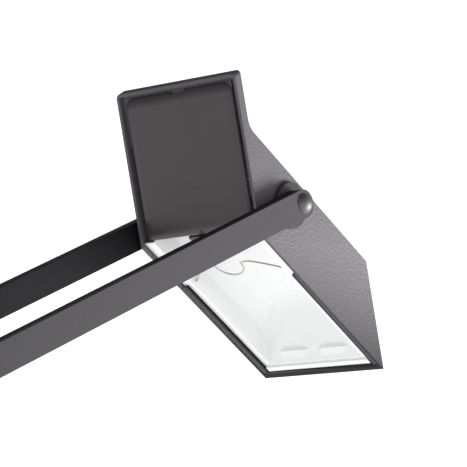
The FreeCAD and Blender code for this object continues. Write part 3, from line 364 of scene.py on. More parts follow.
@dataclass(frozen=True)
class Place:
    """Where a group stands: an origin in millimetres and a turn about +Y in degrees."""

    origin: tuple[float, float, float]
    degrees: float

    def vectors(self, points: np.ndarray) -> np.ndarray:
        """Turns local vectors: x' = x cos + z sin and z' = -x sin + z cos.

        Args:
            points: Local vectors, one on each row.

        Returns:
            The same vectors in the row frame.
        """
        cosine = math.cos(math.radians(self.degrees))
        sine = math.sin(math.radians(self.degrees))
        x, y, z = points[:, 0], points[:, 1], points[:, 2]
        return np.stack([x * cosine + z * sine, y, z * cosine - x * sine], axis=1)

    def points(self, points: np.ndarray) -> np.ndarray:
        """Local points in millimetres as points of the row frame in metres."""
        return (self.vectors(points) + np.array(self.origin)) * MM


class Facing(Enum):
    """How a profile's u, v and w directions lie along a group's x, y and z."""

    UP = ((1, 0, 0), (0, 1, 0), (0, 0, 1))
    NEAR = ((1, 0, 0), (0, 0, 1), (0, -1, 0))
    FAR = ((-1, 0, 0), (0, 0, 1), (0, 1, 0))
    AHEAD = ((0, 1, 0), (0, 0, 1), (1, 0, 0))

    def lay(self, points: np.ndarray) -> np.ndarray:
        """Lays (u, v, w) points along x, y and z."""
        return points @ np.array(self.value, float)


@dataclass
class Surface:
    """Points and faces before they become a mesh."""

    points: np.ndarray
    faces: list[list[int]]

    @staticmethod
    def joined(parts: Sequence["Surface"]) -> "Surface":
        """Puts several surfaces together.

        Args:
            parts: The surfaces.

        Returns:
            One surface with all their points and faces.
        """
        faces: list[list[int]] = []
        start = 0
        for part in parts:
            faces.extend([[index + start for index in face] for face in part.faces])
            start += len(part.points)
        return Surface(np.concatenate([part.points for part in parts]), faces)

    @staticmethod
    def stack(rings: np.ndarray) -> "Surface":
        """Joins closed rings, each counter-clockwise seen from the last one, and caps both ends.

        Args:
            rings: An array of rings by points by 3.

        Returns:
            A closed surface that faces outwards.
        """
        count, around = rings.shape[:2]
        first = np.arange(count * around).reshape(count, around)
        turned = np.roll(first, -1, axis=1)
        quads = np.stack([first[:-1], turned[:-1], turned[1:], first[1:]], axis=-1).reshape(-1, 4)
        faces = quads.tolist()
        faces.append(first[0, ::-1].tolist())
        faces.append(first[-1].tolist())
        return Surface(rings.reshape(-1, 3), faces)

    @staticmethod
    def turned(profile: Sequence[tuple[float, float]], segments: int = 64) -> "Surface":
        """Carries a profile round an axis: point = (r cos t, r sin t, w).

        Args:
            profile: Radius and height pairs from the foot up, outside first.
            segments: Points on each ring.

        Returns:
            A closed surface about the w axis.
        """
        angle = np.linspace(0.0, 2.0 * math.pi, segments, endpoint=False)
        steps = np.array(profile, float)
        radius, height = steps[:, :1], steps[:, 1:]
        ring = np.stack([radius * np.cos(angle), radius * np.sin(angle), height + 0.0 * angle], axis=-1)
        return Surface.stack(ring)

    @staticmethod
    def ring(profile: Sequence[tuple[float, float]], segments: int = 64) -> "Surface":
        """Carries a closed profile round an axis, so that the piece has a bore.

        Args:
            profile: Radius and height pairs round the section, counter-clockwise with radius to the right.
            segments: Points on each ring.

        Returns:
            A closed ring about the w axis.
        """
        angle = np.linspace(0.0, 2.0 * math.pi, segments, endpoint=False)
        steps = np.array(profile, float)
        count = len(steps)
        radius, height = steps[:, :1], steps[:, 1:]
        points = np.stack([radius * np.cos(angle), radius * np.sin(angle), height + 0.0 * angle], axis=-1)
        first = np.arange(count * segments).reshape(count, segments)
        turned = np.roll(first, -1, axis=1)
        above = np.roll(first, -1, axis=0)
        corner = np.roll(above, -1, axis=1)
        quads = np.stack([first, turned, corner, above], axis=-1).reshape(-1, 4)
        return Surface(points.reshape(-1, 3), quads.tolist())

    @staticmethod
    def tube(path: np.ndarray, radius: float, segments: int = 14) -> "Surface":
        """Carries a circle along a smooth path with rounded ends.

        The path is a Catmull-Rom spline through the points. Each ring stands square to the path, on
        two directions found from a fixed reference, and the two end rings shrink to close the ends.

        Args:
            path: The points that the wire passes through, one on each row.
            radius: The wire's radius.
            segments: Points on each ring.

        Returns:
            A closed surface.
        """
        ends = np.concatenate([2 * path[:1] - path[1:2], path, 2 * path[-1:] - path[-2:-1]])
        t = np.linspace(0.0, 1.0, 12, endpoint=False)[None, :, None]
        a, b, c, d = (ends[shift:len(ends) - 3 + shift, None, :] for shift in range(4))
        curve = 0.5 * (2 * b + (c - a) * t + (2 * a - 5 * b + 4 * c - d) * t ** 2
                       + (3 * b - a - 3 * c + d) * t ** 3)
        line = np.concatenate([curve.reshape(-1, 3), path[-1:]])
        along = np.gradient(line, axis=0)
        along /= np.linalg.norm(along, axis=1, keepdims=True)
        reference = np.array([0.31, 0.17, 0.93])
        side = np.cross(reference, along)
        side /= np.linalg.norm(side, axis=1, keepdims=True)
        rise = np.cross(along, side)
        swell = np.ones(len(line) + 4)
        swell[:2] = (0.3, 0.8)
        swell[-2:] = (0.8, 0.3)
        line = np.concatenate([line[:1] - along[:1] * radius, line[:1] - along[:1] * radius * 0.6, line,
                               line[-1:] + along[-1:] * radius * 0.6, line[-1:] + along[-1:] * radius])
        side = np.concatenate([side[:1], side[:1], side, side[-1:], side[-1:]])
        rise = np.concatenate([rise[:1], rise[:1], rise, rise[-1:], rise[-1:]])
        angle = np.linspace(0.0, 2.0 * math.pi, segments, endpoint=False)[None, :, None]
        rings = line[:, None] + radius * swell[:, None, None] * (
            np.cos(angle) * side[:, None] + np.sin(angle) * rise[:, None])
        return Surface.stack(rings)

    @staticmethod
    def sheet(points: np.ndarray, keep: Optional[np.ndarray] = None) -> "Surface":
        """A grid of points as quads that face along row direction cross column direction.

        Args:
            points: An array of rows by columns by 3.
            keep: Which cells are kept, rows - 1 by columns - 1.

        Returns:
            The surface.
        """
        rows, columns = points.shape[:2]
        first = np.arange(rows * columns).reshape(rows, columns)
        quads = np.stack([first[:-1, :-1], first[1:, :-1], first[1:, 1:], first[:-1, 1:]], axis=-1)
        chosen = quads.reshape(-1, 4) if keep is None else quads[keep]
        return Surface(points.reshape(-1, 3), chosen.tolist())


def smoothstep(value: np.ndarray) -> np.ndarray:
    """An eased step: 0 below 0, 1 above 1 and 3t^2 - 2t^3 between."""
    t = np.clip(value, 0.0, 1.0)
    return t * t * (3.0 - 2.0 * t)


def crowded(low: float, high: float, count: int, marks: Sequence[float], spread: float = 0.25) -> np.ndarray:
    """Even positions with extra ones close to each mark.

    Args:
        low: The first position.
        high: The last position.
        count: How many even positions there are.
        marks: Places that need a crisp change.
        spread: The distance of the extra positions from each mark.

    Returns:
        Sorted positions.
    """
    even = np.linspace(low, high, count)
    offsets = np.array([-2.0, -1.0, -0.5, 0.0, 0.5, 1.0, 2.0]) * spread
    extra = (np.array(marks)[:, None] + offsets).ravel() if len(marks) else np.empty(0)
    places = np.unique(np.round(np.concatenate([even, extra]), 4))
    places = places[(places >= low) & (places <= high)]
    gaps = np.concatenate([[True], np.diff(places) > spread * 0.2])
    return places[gaps]


class Maker:
    """Turns surfaces and CAD nodes into dressed pieces that ride on a body."""

    def __init__(self, wardrobe: Wardrobe) -> None:
        """Keeps the materials."""
        self.wardrobe = wardrobe

    def piece(
        self,
        name: str,
        surface: Surface,
        place: Place,
        body: str,
        slot: str,
        stands_for: Sequence[str] = (),
        crease: float = 35.0,
    ) -> bpy.types.Object:
        """Makes one piece from a surface.

        Args:
            name: The piece's name.
            surface: Its points, in the group's millimetres, and its faces.
            place: Where the group stands.
            body: The CAD body it rides on.
            slot: Its material slot.
            stands_for: The CAD nodes it replaces.
            crease: Edges sharper than this angle stay crisp.

        Returns:
            The object.
        """
        mesh = bpy.data.meshes.new(name)
        mesh.from_pydata(place.points(surface.points).tolist(), [], surface.faces)
        return self._finish(name, mesh, body, slot, stands_for, crease)

    def softened(
        self,
        node: str,
        body: str,
        width: float,
        segments: int = 2,
        crease: float = 30.0,
    ) -> bpy.types.Object:
        """Makes a merged copy of a CAD node with rounded edges.

        Args:
            node: The CAD node.
            body: The CAD body it rides on.
            width: The rounding in millimetres.
            segments: Steps across the rounding.
            crease: Edges sharper than this angle are rounded.

        Returns:
            The object.
        """
        mesh = frame["nodes"][node].data.copy()
        name = node + "_finished"
        made = self._finish(name, mesh, body, self.wardrobe.slot_of[node], [node], crease)
        bpy.context.view_layer.objects.active = made
        merged = bpy.data.meshes.new(name)
        self._merge(mesh, merged)
        materials = list(mesh.materials)
        made.data = merged
        for material in materials:
            merged.materials.append(material)
        merged.polygons.foreach_set("use_smooth", np.ones(len(merged.polygons), bool))
        merged.set_sharp_from_angle(angle=math.radians(crease))
        bevel = made.modifiers.new("rounded_edges", "BEVEL")
        bevel.width = width * MM
        bevel.segments = segments
        bevel.limit_method = "ANGLE"
        bevel.angle_limit = math.radians(crease)
        bevel.use_clamp_overlap = True
        bevel.harden_normals = False
        bevel.miter_outer = "MITER_ARC"
        return made

    @staticmethod
    def _merge(source: bpy.types.Mesh, target: bpy.types.Mesh) -> None:
        """Writes source into target with its doubled corners merged and its flat faces dissolved.

        Args:
            source: A mesh of loose triangles.
            target: An empty mesh.
        """
        import bmesh
        work = bmesh.new()
        work.from_mesh(source)
        bmesh.ops.remove_doubles(work, verts=work.verts, dist=0.002 * MM)
        bmesh.ops.dissolve_limit(work, angle_limit=math.radians(0.4), verts=work.verts, edges=work.edges,
                                 delimit=set())
        work.to_mesh(target)
        work.free()

    def _finish(
        self,
        name: str,
        mesh: bpy.types.Mesh,
        body: str,
        slot: str,
        stands_for: Sequence[str],
        crease: float,
    ) -> bpy.types.Object:
        """Shades, dresses and mounts a mesh.

        Args:
            name: The piece's name.
            mesh: Its mesh, in the row frame in metres.
            body: The CAD body it rides on.
            slot: Its material slot.
            stands_for: The CAD nodes it replaces.
            crease: Edges sharper than this angle stay crisp.

        Returns:
            The object.
        """
        mesh.polygons.foreach_set("use_smooth", np.ones(len(mesh.polygons), bool))
        mesh.set_sharp_from_angle(angle=math.radians(crease))
        made = bpy.data.objects.new(name, mesh)
        bpy.context.scene.collection.objects.link(made)
        self.wardrobe.dress(made, slot)
        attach(made, body)
        if stands_for:
            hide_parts(*stands_for)
        LOG.info("%s: %d points on %s in %s", name, len(mesh.vertices), body, slot)
        return made


def paint_mask(piece: bpy.types.Object, name: str, values: np.ndarray) -> None:
    """Stores one number for each point of a piece's mesh."""
    layer = piece.data.attributes.new(name, "FLOAT", "POINT")
    layer.data.foreach_set("value", values.astype(np.float32))


def corners_of(piece: bpy.types.Object) -> np.ndarray:
    """A piece's mesh points in millimetres, one on each row."""
    flat = np.empty(len(piece.data.vertices) * 3, np.float32)
    piece.data.vertices.foreach_get("co", flat)
    return flat.reshape(-1, 3) / MM


# ------------------------------------------------------------------ sub-assemblies

@dataclass
class Pivot:
    """The screws and discs of one pivot, the same on both sides of the lamp.

    Attributes:
        name: The pivot's name, as in its CAD nodes.
        place: Where the pivot's group stands.
        centre: The pivot's x and z in that group.
        body: The body that carries its screws and discs.
        screw_from: How far from the middle the screws' tips are.
        seat: How far from the middle the domes sit.
        disc_from: How far from the middle the discs start.
    """

    name: str
    place: Place
    centre: tuple[float, float]
    body: str
    screw_from: float
    seat: float
    disc_from: float
    shank_radius: float = 2.0
    dome_radius: float = 3.6
    dome_height: float = 2.2
    disc_radius: float = 8.4
    disc_gauge: float = 1.75

    def _screw_profile(self) -> list[tuple[float, float]]:
        """The screw's outline: a chamfered shank, a flat seat, a short rim and a spherical dome."""
        ball = (self.dome_radius ** 2 + self.dome_height ** 2) / (2 * self.dome_height)
        low = math.asin((ball - self.dome_height) / ball)
        angles = np.linspace(low, math.pi / 2 - 0.04, 12)
        rim = 0.25
        dome = [(ball * math.cos(angle), self.seat + self.dome_height - ball + ball * math.sin(angle))
                for angle in angles]
        lead = [(1.4, self.screw_from), (self.shank_radius, self.screw_from + 0.6), (self.shank_radius, self.seat),
                (self.dome_radius - rim, self.seat), (self.dome_radius, self.seat + rim * 0.5)]
        return lead + [point for point in dome if point[1] > self.seat + rim]

    def _disc_profile(self) -> list[tuple[float, float]]:
        """The disc's section: a bore, two flats and a rounded outer edge."""
        low, high = self.disc_from, self.disc_from + self.disc_gauge
        bore = self.shank_radius + 0.03
        edge = 0.35
        return [(bore, low), (self.disc_radius - edge, low), (self.disc_radius, low + edge),
                (self.disc_radius, high - edge), (self.disc_radius - edge, high), (bore, high)]

    def _both_sides(self, surface: Surface) -> Surface:
        """A near and a far copy of a surface turned about the pivot's axis."""
        shift = np.array([self.centre[0], 0.0, self.centre[1]])
        near = Surface(Facing.NEAR.lay(surface.points) + shift, surface.faces)
        far = Surface(Facing.FAR.lay(surface.points) + shift, surface.faces)
        return Surface.joined([near, far])

    def build(self, maker: Maker) -> None:
        """Builds the dome-headed screws and the spacer discs."""
        screws = self._both_sides(Surface.turned(self._screw_profile()))
        maker.piece(self.name + "_dome_screws", screws, self.place, self.body, "blued_steel",
                    [self.name + "_screws"], 40.0)
        discs = self._both_sides(Surface.ring(self._disc_profile()))
        maker.piece(self.name + "_spacer_discs", discs, self.place, self.body, "black_plastic",
                    [self.name + "_discs"], 40.0)


@dataclass
class Cover:
    """The moulded cover of the head's raked front, in the rake's own directions.

    Attributes:
        half: Half its width.
        low: Where it starts up the rake.
        high: Where it ends.
        front: Its face, out of the front.
        gauge: Its thickness at the edge.
        edge: Rounding of its long edges.
        edge_drop: How far the rounding falls.
        foot: Length of the rounded foot.
        slot_half: Half the width of the release slot.
        slot_length: How far the slot runs down.
        notch_at: Where the foot's notch is, across the lamp.
    """

    half: float = 24.9
    low: float = 2.2
    high: float = 54.1
    front: float = 0.3
    gauge: float = 1.95
    edge: float = 4.2
    edge_drop: float = 1.5
    foot: float = 4.2
    slot_half: float = 3.2
    slot_length: float = 1.0
    notch_at: float = -1.0
    plaque_at: float = 14.8
    plaque_half: tuple[float, float] = (9.2, 3.6)

    def _height(self, along: np.ndarray, across: np.ndarray) -> np.ndarray:
        """The face's height: flat, less a quarter ellipse at each edge, a slot, a notch and a plain oval.

        Args:
            along: Positions up the rake.
            across: Positions across the lamp.

        Returns:
            Heights out of the front.
        """
        side = np.clip(1.0 - (self.half - np.abs(across)) / self.edge, 0.0, 1.0)
        top = np.clip(1.0 - (self.high - along) / self.edge, 0.0, 1.0)
        foot = np.clip(1.0 - (along - self.low) / self.foot, 0.0, 1.0)
        drop = self.edge_drop * (1.0 - np.sqrt(1.0 - np.clip(side ** 2 + top ** 2, 0.0, 1.0)))
        drop = drop + 1.3 * (1.0 - np.sqrt(1.0 - foot ** 2))
        slot = smoothstep((self.slot_half - np.abs(across)) / 0.2 + 0.5)
        slot = slot * smoothstep((along - self.high + self.slot_length) / 0.2 + 0.5)
        rise = along - self.low
        notch = smoothstep((1.9 - 0.8 * rise - np.abs(across - self.notch_at)) / 0.3 + 0.5)
        reach = np.hypot((along - self.plaque_at) / self.plaque_half[1], across / self.plaque_half[0])
        plaque = 0.12 * np.exp(-((reach - 1.0) / 0.055) ** 2)
        return self.front - np.minimum(drop + 1.5 * np.maximum(slot, notch), self.gauge - 0.2) + plaque

    def surface(self) -> Surface:
        """Builds the cover as a closed cushion: the face over a grid, a skirt and a back.

        Returns:
            The surface in the head's directions.
        """
        marks = [self.slot_half, -self.slot_half, self.notch_at - 1.6, self.notch_at + 1.6]
        across = crowded(-self.half, self.half, 110, marks, 0.12)
        across = np.unique(np.concatenate([across, -self.half + self.edge * np.linspace(0, 1, 8) ** 2,
                                           self.half - self.edge * np.linspace(0, 1, 8) ** 2]))
        along = crowded(self.low, self.high, 110, [self.high - self.slot_length], 0.12)
        along = np.unique(np.concatenate([along, self.low + self.foot * np.linspace(0, 1, 12) ** 2,
                                          self.high - self.edge * np.linspace(0, 1, 8) ** 2]))
        u, v = np.meshgrid(along, across, indexing="ij")
        grid = np.stack([u, v, self._height(u, v)], axis=-1)
        face = Surface.sheet(grid)
        rows, columns = u.shape
        index = np.arange(rows * columns).reshape(rows, columns)
        loop = np.concatenate([index[0, :-1], index[:-1, -1], index[-1, :0:-1], index[:0:-1, 0]])
        skirt = grid.reshape(-1, 3)[loop].copy()
        skirt[:, 2] = self.front - self.gauge
        start = rows * columns
        low = np.arange(start, start + len(loop))
        quads = np.stack([loop, np.roll(loop, -1), np.roll(low, -1), low], axis=-1)
        faces = face.faces + quads.tolist() + [low.tolist()]
        points = np.concatenate([face.points, skirt])
        half_turn = math.sqrt(0.5)
        head = np.stack([-half_turn * (points[:, 0] + points[:, 2]), points[:, 1],
                         half_turn * (points[:, 0] - points[:, 2])], axis=1)
        return Surface(head, faces)


@dataclass
class Reflector:
    """The white pan: a stepped vault with a raked end wall, a flat rim and two pressed louvres.

    Attributes:
        rim: Height of the flat rim above the aperture's plane.
        depth: Depth of the vault above the rim.
        half: Half the mouth's width.
        flange: Half the width over the rim.
        mouth_end: Where the mouth ends along the aperture.
        rim_end: Where the rim ends.
        rear: Where the vault starts, measured along the rim.
        rim_start: Where the flat rim starts.
        step: The height of the shaded step round the mouth.
        notch_end: Where the lamp holder's notch ends.
        notch_half: Half the notch's width.
        gauge: The sheet's thickness.
        louvre_at: How far each louvre's middle is from the lamp's.
        louvre_half: Half a louvre's width.
        louvre_low: Where a louvre starts up the end wall.
        louvre_high: Where it ends.
        louvre_depth: How far its lip stands into the pan.
    """

    rim: float = 1.5
    depth: float = 17.4
    half: float = 22.0
    flange: float = 26.5
    mouth_end: float = 76.2
    rim_end: float = 79.4
    apron_half: float = 23.8
    apron_drop: float = 1.05
    rear: float = 0.95
    rim_start: float = -0.5
    step: float = 3.8
    notch_end: float = 11.0
    notch_half: float = 16.0
    gauge: float = 0.6
    louvre_at: float = 9.1
    louvre_half: float = 7.0
    louvre_low: float = 1.0
    louvre_high: float = 3.9
    louvre_depth: float = 1.15

    def _vault(self, across: np.ndarray) -> np.ndarray:
        """The height over the rim far from the end wall: a short step, then half an ellipse."""
        inward = self.half - np.abs(across)
        step = self.step * smoothstep(inward / 0.9)
        swell = np.sqrt(np.clip(1.0 - (1.0 - np.clip(inward, 0.0, None) / self.half) ** 2, 0.0, 1.0))
        return np.where(inward > 0.0, step + (self.depth - self.step) * swell, 0.0)

    def _height(self, along: np.ndarray, across: np.ndarray) -> np.ndarray:
        """The vault cut off by a 45 degree end wall through a smooth minimum, with the pressings.

        Args:
            along: Positions along the aperture.
            across: Positions across the lamp.

        Returns:
            Heights over the rim.
        """
        vault = self._vault(across)
        wall = np.clip(self.mouth_end - along, 0.0, None)
        ease = 5.0
        share = np.clip(0.5 + 0.5 * (wall - vault) / ease, 0.0, 1.0)
        height = wall * (1.0 - share) + vault * share - ease * share * (1.0 - share)
        height = np.minimum(np.clip(height, 0.0, None), np.minimum(vault, wall))
        for centre in (-self.louvre_at, self.louvre_at):
            taper = np.clip((self.louvre_half - np.abs(across - centre)) / 2.2, 0.0, 1.0)
            high = self.louvre_high - 0.6 * (1.0 - taper)
            rise = np.clip((wall - self.louvre_low) / (self.louvre_high - self.louvre_low), 0.0, 1.0)
            height = height - self.louvre_depth * taper * rise * smoothstep((high - wall) / 0.25)
        dimple = np.hypot(across, (wall - 4.2) * 1.4)
        apron = smoothstep((along - self.mouth_end - 0.3) / 0.8)
        apron = apron * smoothstep((self.apron_half - np.abs(across)) / 0.4 + 1.0)
        return height - 0.6 * np.exp(-(dimple / 1.2) ** 2) - self.apron_drop * apron

    def surface(self) -> Surface:
        """Builds the pan as a height over a grid whose first row follows the raked rear.

        Returns:
            The surface, facing down through the aperture.
        """
        across = crowded(-self.flange, self.flange, 120,
                         [-self.half, self.half, -self.notch_half, self.notch_half,
                          -self.apron_half, self.apron_half,
                          -self.half + 0.9, self.half - 0.9, -3.0, 3.0], 0.18)
        nearest = np.abs(across[:, None] - np.array([-self.notch_half, self.notch_half])).argmin(axis=0)
        across[nearest] = (-self.notch_half, self.notch_half)
        vault = self._vault(across)
        start = np.where(vault > 0.0, self.rear - vault, self.rim_start)
        share = np.linspace(0.0, 1.0, 26)[:, None]
        behind = start + (self.notch_end - start) * share
        ahead = crowded(self.notch_end, self.rim_end, 120, [self.mouth_end, self.mouth_end - 3.5,
                                                            self.mouth_end - 0.4, self.mouth_end + 0.7], 0.15)[1:]
        along = np.concatenate([behind, ahead[:, None] + 0.0 * across])
        wide = np.broadcast_to(across, along.shape)
        height = self.rim + self._height(along, wide)
        middle = 0.5 * (across[1:] + across[:-1])
        keep = np.ones((along.shape[0] - 1, along.shape[1] - 1), bool)
        keep[:25, np.abs(middle) < self.notch_half] = False
        grid = np.stack([along, wide, height], axis=-1)[:, ::-1]
        return Surface.sheet(grid, keep[:, ::-1])


@dataclass
class Head:
    """The head: its shell, cover, reflector, clip and leads."""

    place: Place
    body: str = "head"
    cover: Cover = field(default_factory=Cover)
    reflector: Reflector = field(default_factory=Reflector)
    clip_radius: float = 0.33
    loop_radius: float = 6.3
    lead_radius: float = 0.6
    # Share of the near-black painted shade that is laid on the aperture's bottom edge.
    rim_painted_shade: float = 0.85

    def _clip_path(self) -> np.ndarray:
        """The clip from the near wall, round its loop, to its hook at the far wall."""
        angle = np.radians(np.linspace(-90.0, 90.0, 13))
        loop = np.stack([23.8 + self.loop_radius * np.cos(angle), 7.9 + self.loop_radius * np.sin(angle),
                         np.full(13, 8.3)], axis=1)
        near_leg = np.array([(25.2, -21.4, 3.4), (24.7, -17.6, 4.8), (23.6, -6.0, 7.5), (23.2, -1.6, 8.1)])
        hook = np.array([(21.2, 15.8, 6.4), (22.4, 18.4, 5.0), (24.6, 20.8, 4.0), (25.0, 21.2, 3.0)])
        return np.concatenate([near_leg, loop, hook])

    def _lead_path(self, side: int) -> np.ndarray:
        """A lead from a pivot nut over the reflector to the back of the lamp holder."""
        return np.array([
            (5.6, side * 24.2, 20.2), (5.6, side * 22.4, 20.2), (2.5, side * 20.0, 23.1),
            (-3.0, side * 16.0, 23.7), (-8.5, side * 8.5, 21.6), (-7.2, side * 4.4, 15.0),
            (-3.2, side * 3.2, 8.6), (0.7, side * 3.2, 8.6),
        ])

    def _paint_lip_shade(self, shell: bpy.types.Object) -> None:
        """Marks the points of the return lips, which lie just inside the aperture, for near-black painted shade, and
        the points of the aperture's bottom edge for a lighter painted shade.
        """
        local = corners_of(shell) - np.array(self.place.origin)
        back = Place((0.0, 0.0, 0.0), -self.place.degrees).vectors(local)
        # inside: the return lips; edge: the aperture's bottom edge. Both get painted shade through the lip mask.
        inside = (back[:, 2] > 0.3) & (back[:, 2] < 1.5) & (np.abs(back[:, 1]) < 26.7) & (back[:, 0] > 24.0)
        edge = (back[:, 2] < 0.2) & (back[:, 0] > 1.0)
        paint_mask(shell, "lip", np.maximum(inside.astype(float), self.rim_painted_shade * edge))

    def build(self, maker: Maker) -> None:
        """Builds the head's pieces."""
        shell = maker.softened("head_shell", self.body, 0.35, 3)
        self._paint_lip_shade(shell)
        maker.piece("head_cover_panel", self.cover.surface(), self.place, self.body, "cover_plastic",
                    ["head_cover"], 50.0)
        pan = maker.piece("reflector_pan", self.reflector.surface(), self.place, self.body, "white_enamel",
                          ["reflector"], 50.0)
        wall = pan.modifiers.new("sheet", "SOLIDIFY")
        wall.thickness = self.reflector.gauge * MM
        wall.offset = -1.0
        maker.piece("lamp_clip_wire", Surface.tube(self._clip_path(), self.clip_radius), self.place, self.body,
                    "spring_steel", ["lamp_clip"])
        leads = Surface.joined([Surface.tube(self._lead_path(side), self.lead_radius) for side in (-1, 1)])
        maker.piece("head_lead_sleeves", leads, self.place, self.body, "lead_sleeve", ["head_leads"])
        for node, width in (("lamp_holder", 0.3), ("holder_bracket", 0.15), ("head_nuts", 0.2),
                            ("cover_screws", 0.25), ("bracket_screw", 0.25)):
            maker.softened(node, self.body, width)


@dataclass
class Arm:
    """A pair of bars with its counterweight, pads and screws.

    Attributes:
        name: "upper" or "lower".
        place: Where the arm's pivot stands; not used.
        inner: How far from the middle the bars' inner faces are.
    """

    name: str
    place: Place
    inner: float
    bar_rounding: float = 0.55

    def build(self, maker: Maker) -> None:
        """Builds the bars, with painted shade on their inner faces, and dresses what they carry."""
        body = self.name + "_arm"
        for side in ("near", "far"):
            bar = maker.softened(f"{self.name}_bar_{side}", body, self.bar_rounding, 3, 40.0)
            across = np.abs(corners_of(bar)[:, 1])
            # The bars' inner faces get a near-black painted shade through this mask.
            paint_mask(bar, "inner_side", (across < self.inner + 0.1).astype(float))
        maker.softened(self.name + "_counterweight", body, 0.6, 3)
        maker.softened(self.name + "_weight_pads", body, 0.25)
        maker.softened(self.name + "_weight_screws", body, 0.12)


@dataclass
class Stand:
    """The base and the turret."""

    roundings: tuple[tuple[str, str, float], ...] = (
        ("base_housing", "base", 0.4),
        ("base_pad", "base", 0.4),
        ("swivel_bush", "base", 0.25),
        ("cord_gland", "base", 0.25),
        ("gland_nut", "base", 0.25),
        ("switch_frame", "base", 0.25),
        ("terminal_block", "base", 0.3),
        ("transformer_coil", "base", 0.5),
        ("switch_rocker", "rocker", 0.25),
        ("turret_post", "turret", 0.4),
        ("swivel_nut", "turret", 0.3),
    )

    def build(self, maker: Maker) -> None:
        """Rounds the edges of the stand's pieces."""
        for node, body, width in self.roundings:
            maker.softened(node, body, width)


# ------------------------------------------------------------------ studio

@dataclass
class Studio:
    """The floor, the lights and the camera.

    Attributes:
        aim: The point looked at.
        distance: How far the camera stands from it.
        azimuth: The camera's angle round the lamp in degrees.
        elevation: The camera's angle above the horizon in degrees.
        lens: The lens in millimetres on a 36 mm sensor.
    """

    aim: Vector
    distance: float = 0.8313
    azimuth: float = -50.13
    elevation: float = -9.03
    lens: float = 184.0
    sky: float = 0.42
    sky_slope: tuple[float, float, float] = (0.16, -0.20, -0.36)
    glow: float = 0.9
    floor_glow: float = 1.05
    key_watts: float = 2.1
    key_from: tuple[float, float, float] = (0.74, -0.62, -0.26)
    key_reach: float = 0.36
    key_size: float = 0.16

    def _backwards(self) -> Vector:
        """The direction from the aim to the camera."""
        turn = math.radians(self.azimuth)
        rise = math.radians(self.elevation)
        return Vector((math.sin(turn) * math.cos(rise), -math.cos(turn) * math.cos(rise), math.sin(rise)))

    def camera(self) -> None:
        """Places the camera."""
        data = bpy.data.cameras.new("studio_camera")
        data.sensor_width = 36.0
        data.lens = self.lens
        data.clip_start = 0.05
        made = bpy.data.objects.new("studio_camera", data)
        back = self._backwards()
        made.location = self.aim + back * self.distance
        made.rotation_mode = "QUATERNION"
        made.rotation_quaternion = (-back).to_track_quat("-Z", "Y")
        bpy.context.scene.collection.objects.link(made)
        bpy.context.scene.camera = made

    def sky_dome(self) -> None:
        """Lights the room evenly, more from the front right and below, white behind the lamp."""
        world = bpy.data.worlds.new("studio_sky")
        bpy.context.scene.world = world
        world.use_nodes = True
        board = Board(world.node_tree)
        ray = board.signal(board.node("ShaderNodeTexCoord"), "Generated")

        def facing(direction: Sequence[float]) -> Signal:
            """How far the ray points along a direction."""
            made = board.node("ShaderNodeVectorMath", {"operation": "DOT_PRODUCT"},
                              {0: ray, 1: tuple(direction)})
            return board.signal(made, "Value")

        ahead = facing(-self._backwards())
        patch = ((ahead - 0.90) * 14.0).clamped(0.0, 1.0)
        level = facing(self.sky_slope) + self.sky + patch * self.glow
        shade = board.node("ShaderNodeBackground", None,
                           {"Color": (1.0, 1.0, 1.0, 1.0), "Strength": level.clamped(0.1, 4.0)})
        board.node("ShaderNodeOutputWorld", None, {"Surface": shade.outputs[0]})

    def key_light(self) -> None:
        """Hangs one soft lamp low on the front right."""
        data = bpy.data.lights.new("soft_key", "AREA")
        data.energy = self.key_watts
        data.shape = "DISK"
        data.size = self.key_size
        made = bpy.data.objects.new("soft_key", data)
        towards = Vector(self.key_from).normalized()
        made.location = self.aim + towards * self.key_reach
        made.rotation_mode = "QUATERNION"
        made.rotation_quaternion = (-towards).to_track_quat("-Z", "Y")
        bpy.context.scene.collection.objects.link(made)

    def floor(self) -> None:
        """Lays a pale floor under the lamp."""
        half = 14.0
        grid = np.array([[(-half, -half, 0.0), (-half, half, 0.0)], [(half, -half, 0.0), (half, half, 0.0)]])
        sheet = Surface.sheet(grid)
        mesh = bpy.data.meshes.new("studio_floor")
        mesh.from_pydata(sheet.points.tolist(), [], sheet.faces)
        made = bpy.data.objects.new("studio_floor", mesh)
        bpy.context.scene.collection.objects.link(made)
        paint = Finish("floor_paper", "floor", (0.8, 0.8, 0.8), 0.9, pitch=1.5, relief=0.05, clouding=0.015)
        paper = paint.material()
        surface = next(node for node in paper.node_tree.nodes if node.type == "BSDF_PRINCIPLED")
        surface.inputs["Emission Color"].default_value = (1.0, 1.0, 1.0, 1.0)
        surface.inputs["Emission Strength"].default_value = self.floor_glow
        mesh.materials.append(paper)

    def build(self) -> None:
        """Sets up the whole studio."""
        bpy.context.scene.view_settings.view_transform = "Standard"
        self.camera()
        self.sky_dome()
        self.key_light()
        self.floor()


# ------------------------------------------------------------------ the lamp

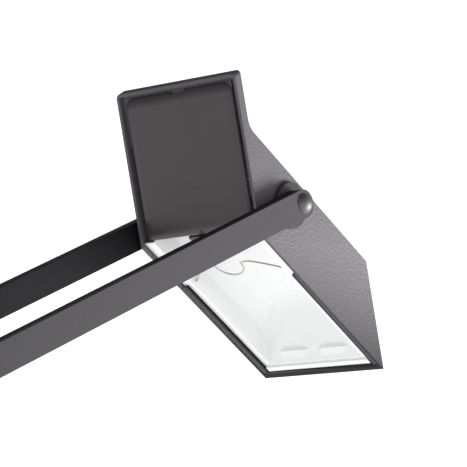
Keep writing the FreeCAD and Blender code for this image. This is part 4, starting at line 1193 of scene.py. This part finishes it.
@dataclass
class LampLayout:
    """The angles and lengths that place the lamp's groups, in millimetres and degrees."""

    shoulder_height: float = 190.0
    lower_lean: float = 42.0
    lower_reach: float = 300.0
    upper_rise: float = 24.4
    upper_reach: float = 400.0
    head_slope: float = 30.4
    pivot_along: float = 7.7
    pivot_above: float = 18.1

    def lower(self) -> Place:
        """Where the lower arm's pivot stands."""
        return Place((0.0, 0.0, self.shoulder_height), -(90.0 + self.lower_lean))

    def upper(self) -> Place:
        """Where the upper arm's pivot stands."""
        return Place(self._end(self.lower(), self.lower_reach), -self.upper_rise)

    def pivot(self) -> tuple[float, float, float]:
        """The head's pivot."""
        return self._end(self.upper(), self.upper_reach)

    def head(self) -> Place:
        """Where the head's aperture edge stands."""
        turn = Place((0.0, 0.0, 0.0), self.head_slope)
        offset = turn.vectors(np.array([[self.pivot_along, 0.0, self.pivot_above]]))[0]
        return Place(tuple(np.array(self.pivot()) - offset), self.head_slope)

    @staticmethod
    def _end(place: Place, reach: float) -> tuple[float, float, float]:
        """The point at a distance along a group's x axis."""
        return tuple(place.points(np.array([[reach, 0.0, 0.0]]))[0] / MM)


def main() -> None:
    """Builds the lamp group by group and sets up the studio."""
    logging.basicConfig(level=logging.INFO, format="%(name)s %(message)s")
    layout = LampLayout()
    maker = Maker(Wardrobe())
    half_head, gap, bar = 28.0, 1.85, 5.4
    upper_inner = half_head + gap
    upper_outer = upper_inner + bar
    lower_inner = upper_outer + gap
    lower_outer = lower_inner + bar
    ear = lower_inner - gap
    play = 0.1
    Head(layout.head()).build(maker)
    Pivot("head", layout.head(), (layout.pivot_along, layout.pivot_above), "head", 23.6,
          upper_outer + play, half_head).build(maker)
    Pivot("elbow", layout.upper(), (0.0, 0.0), "upper_arm", upper_inner - 3.6,
          lower_outer + play, upper_outer).build(maker)
    Pivot("shoulder", Place((0.0, 0.0, layout.shoulder_height), 0.0), (0.0, 0.0), "turret", ear - 9.0,
          lower_outer + play, ear).build(maker)
    Arm("upper", layout.upper(), upper_inner).build(maker)
    Arm("lower", layout.lower(), lower_inner).build(maker)
    Stand().build(maker)
    maker.wardrobe.dress_cad_nodes()
    pivot = Vector(layout.pivot()) * MM
    Studio(aim=pivot + Vector((-0.02183, -0.02073, -0.01191))).build()


if __name__ == "__main__":
    main()
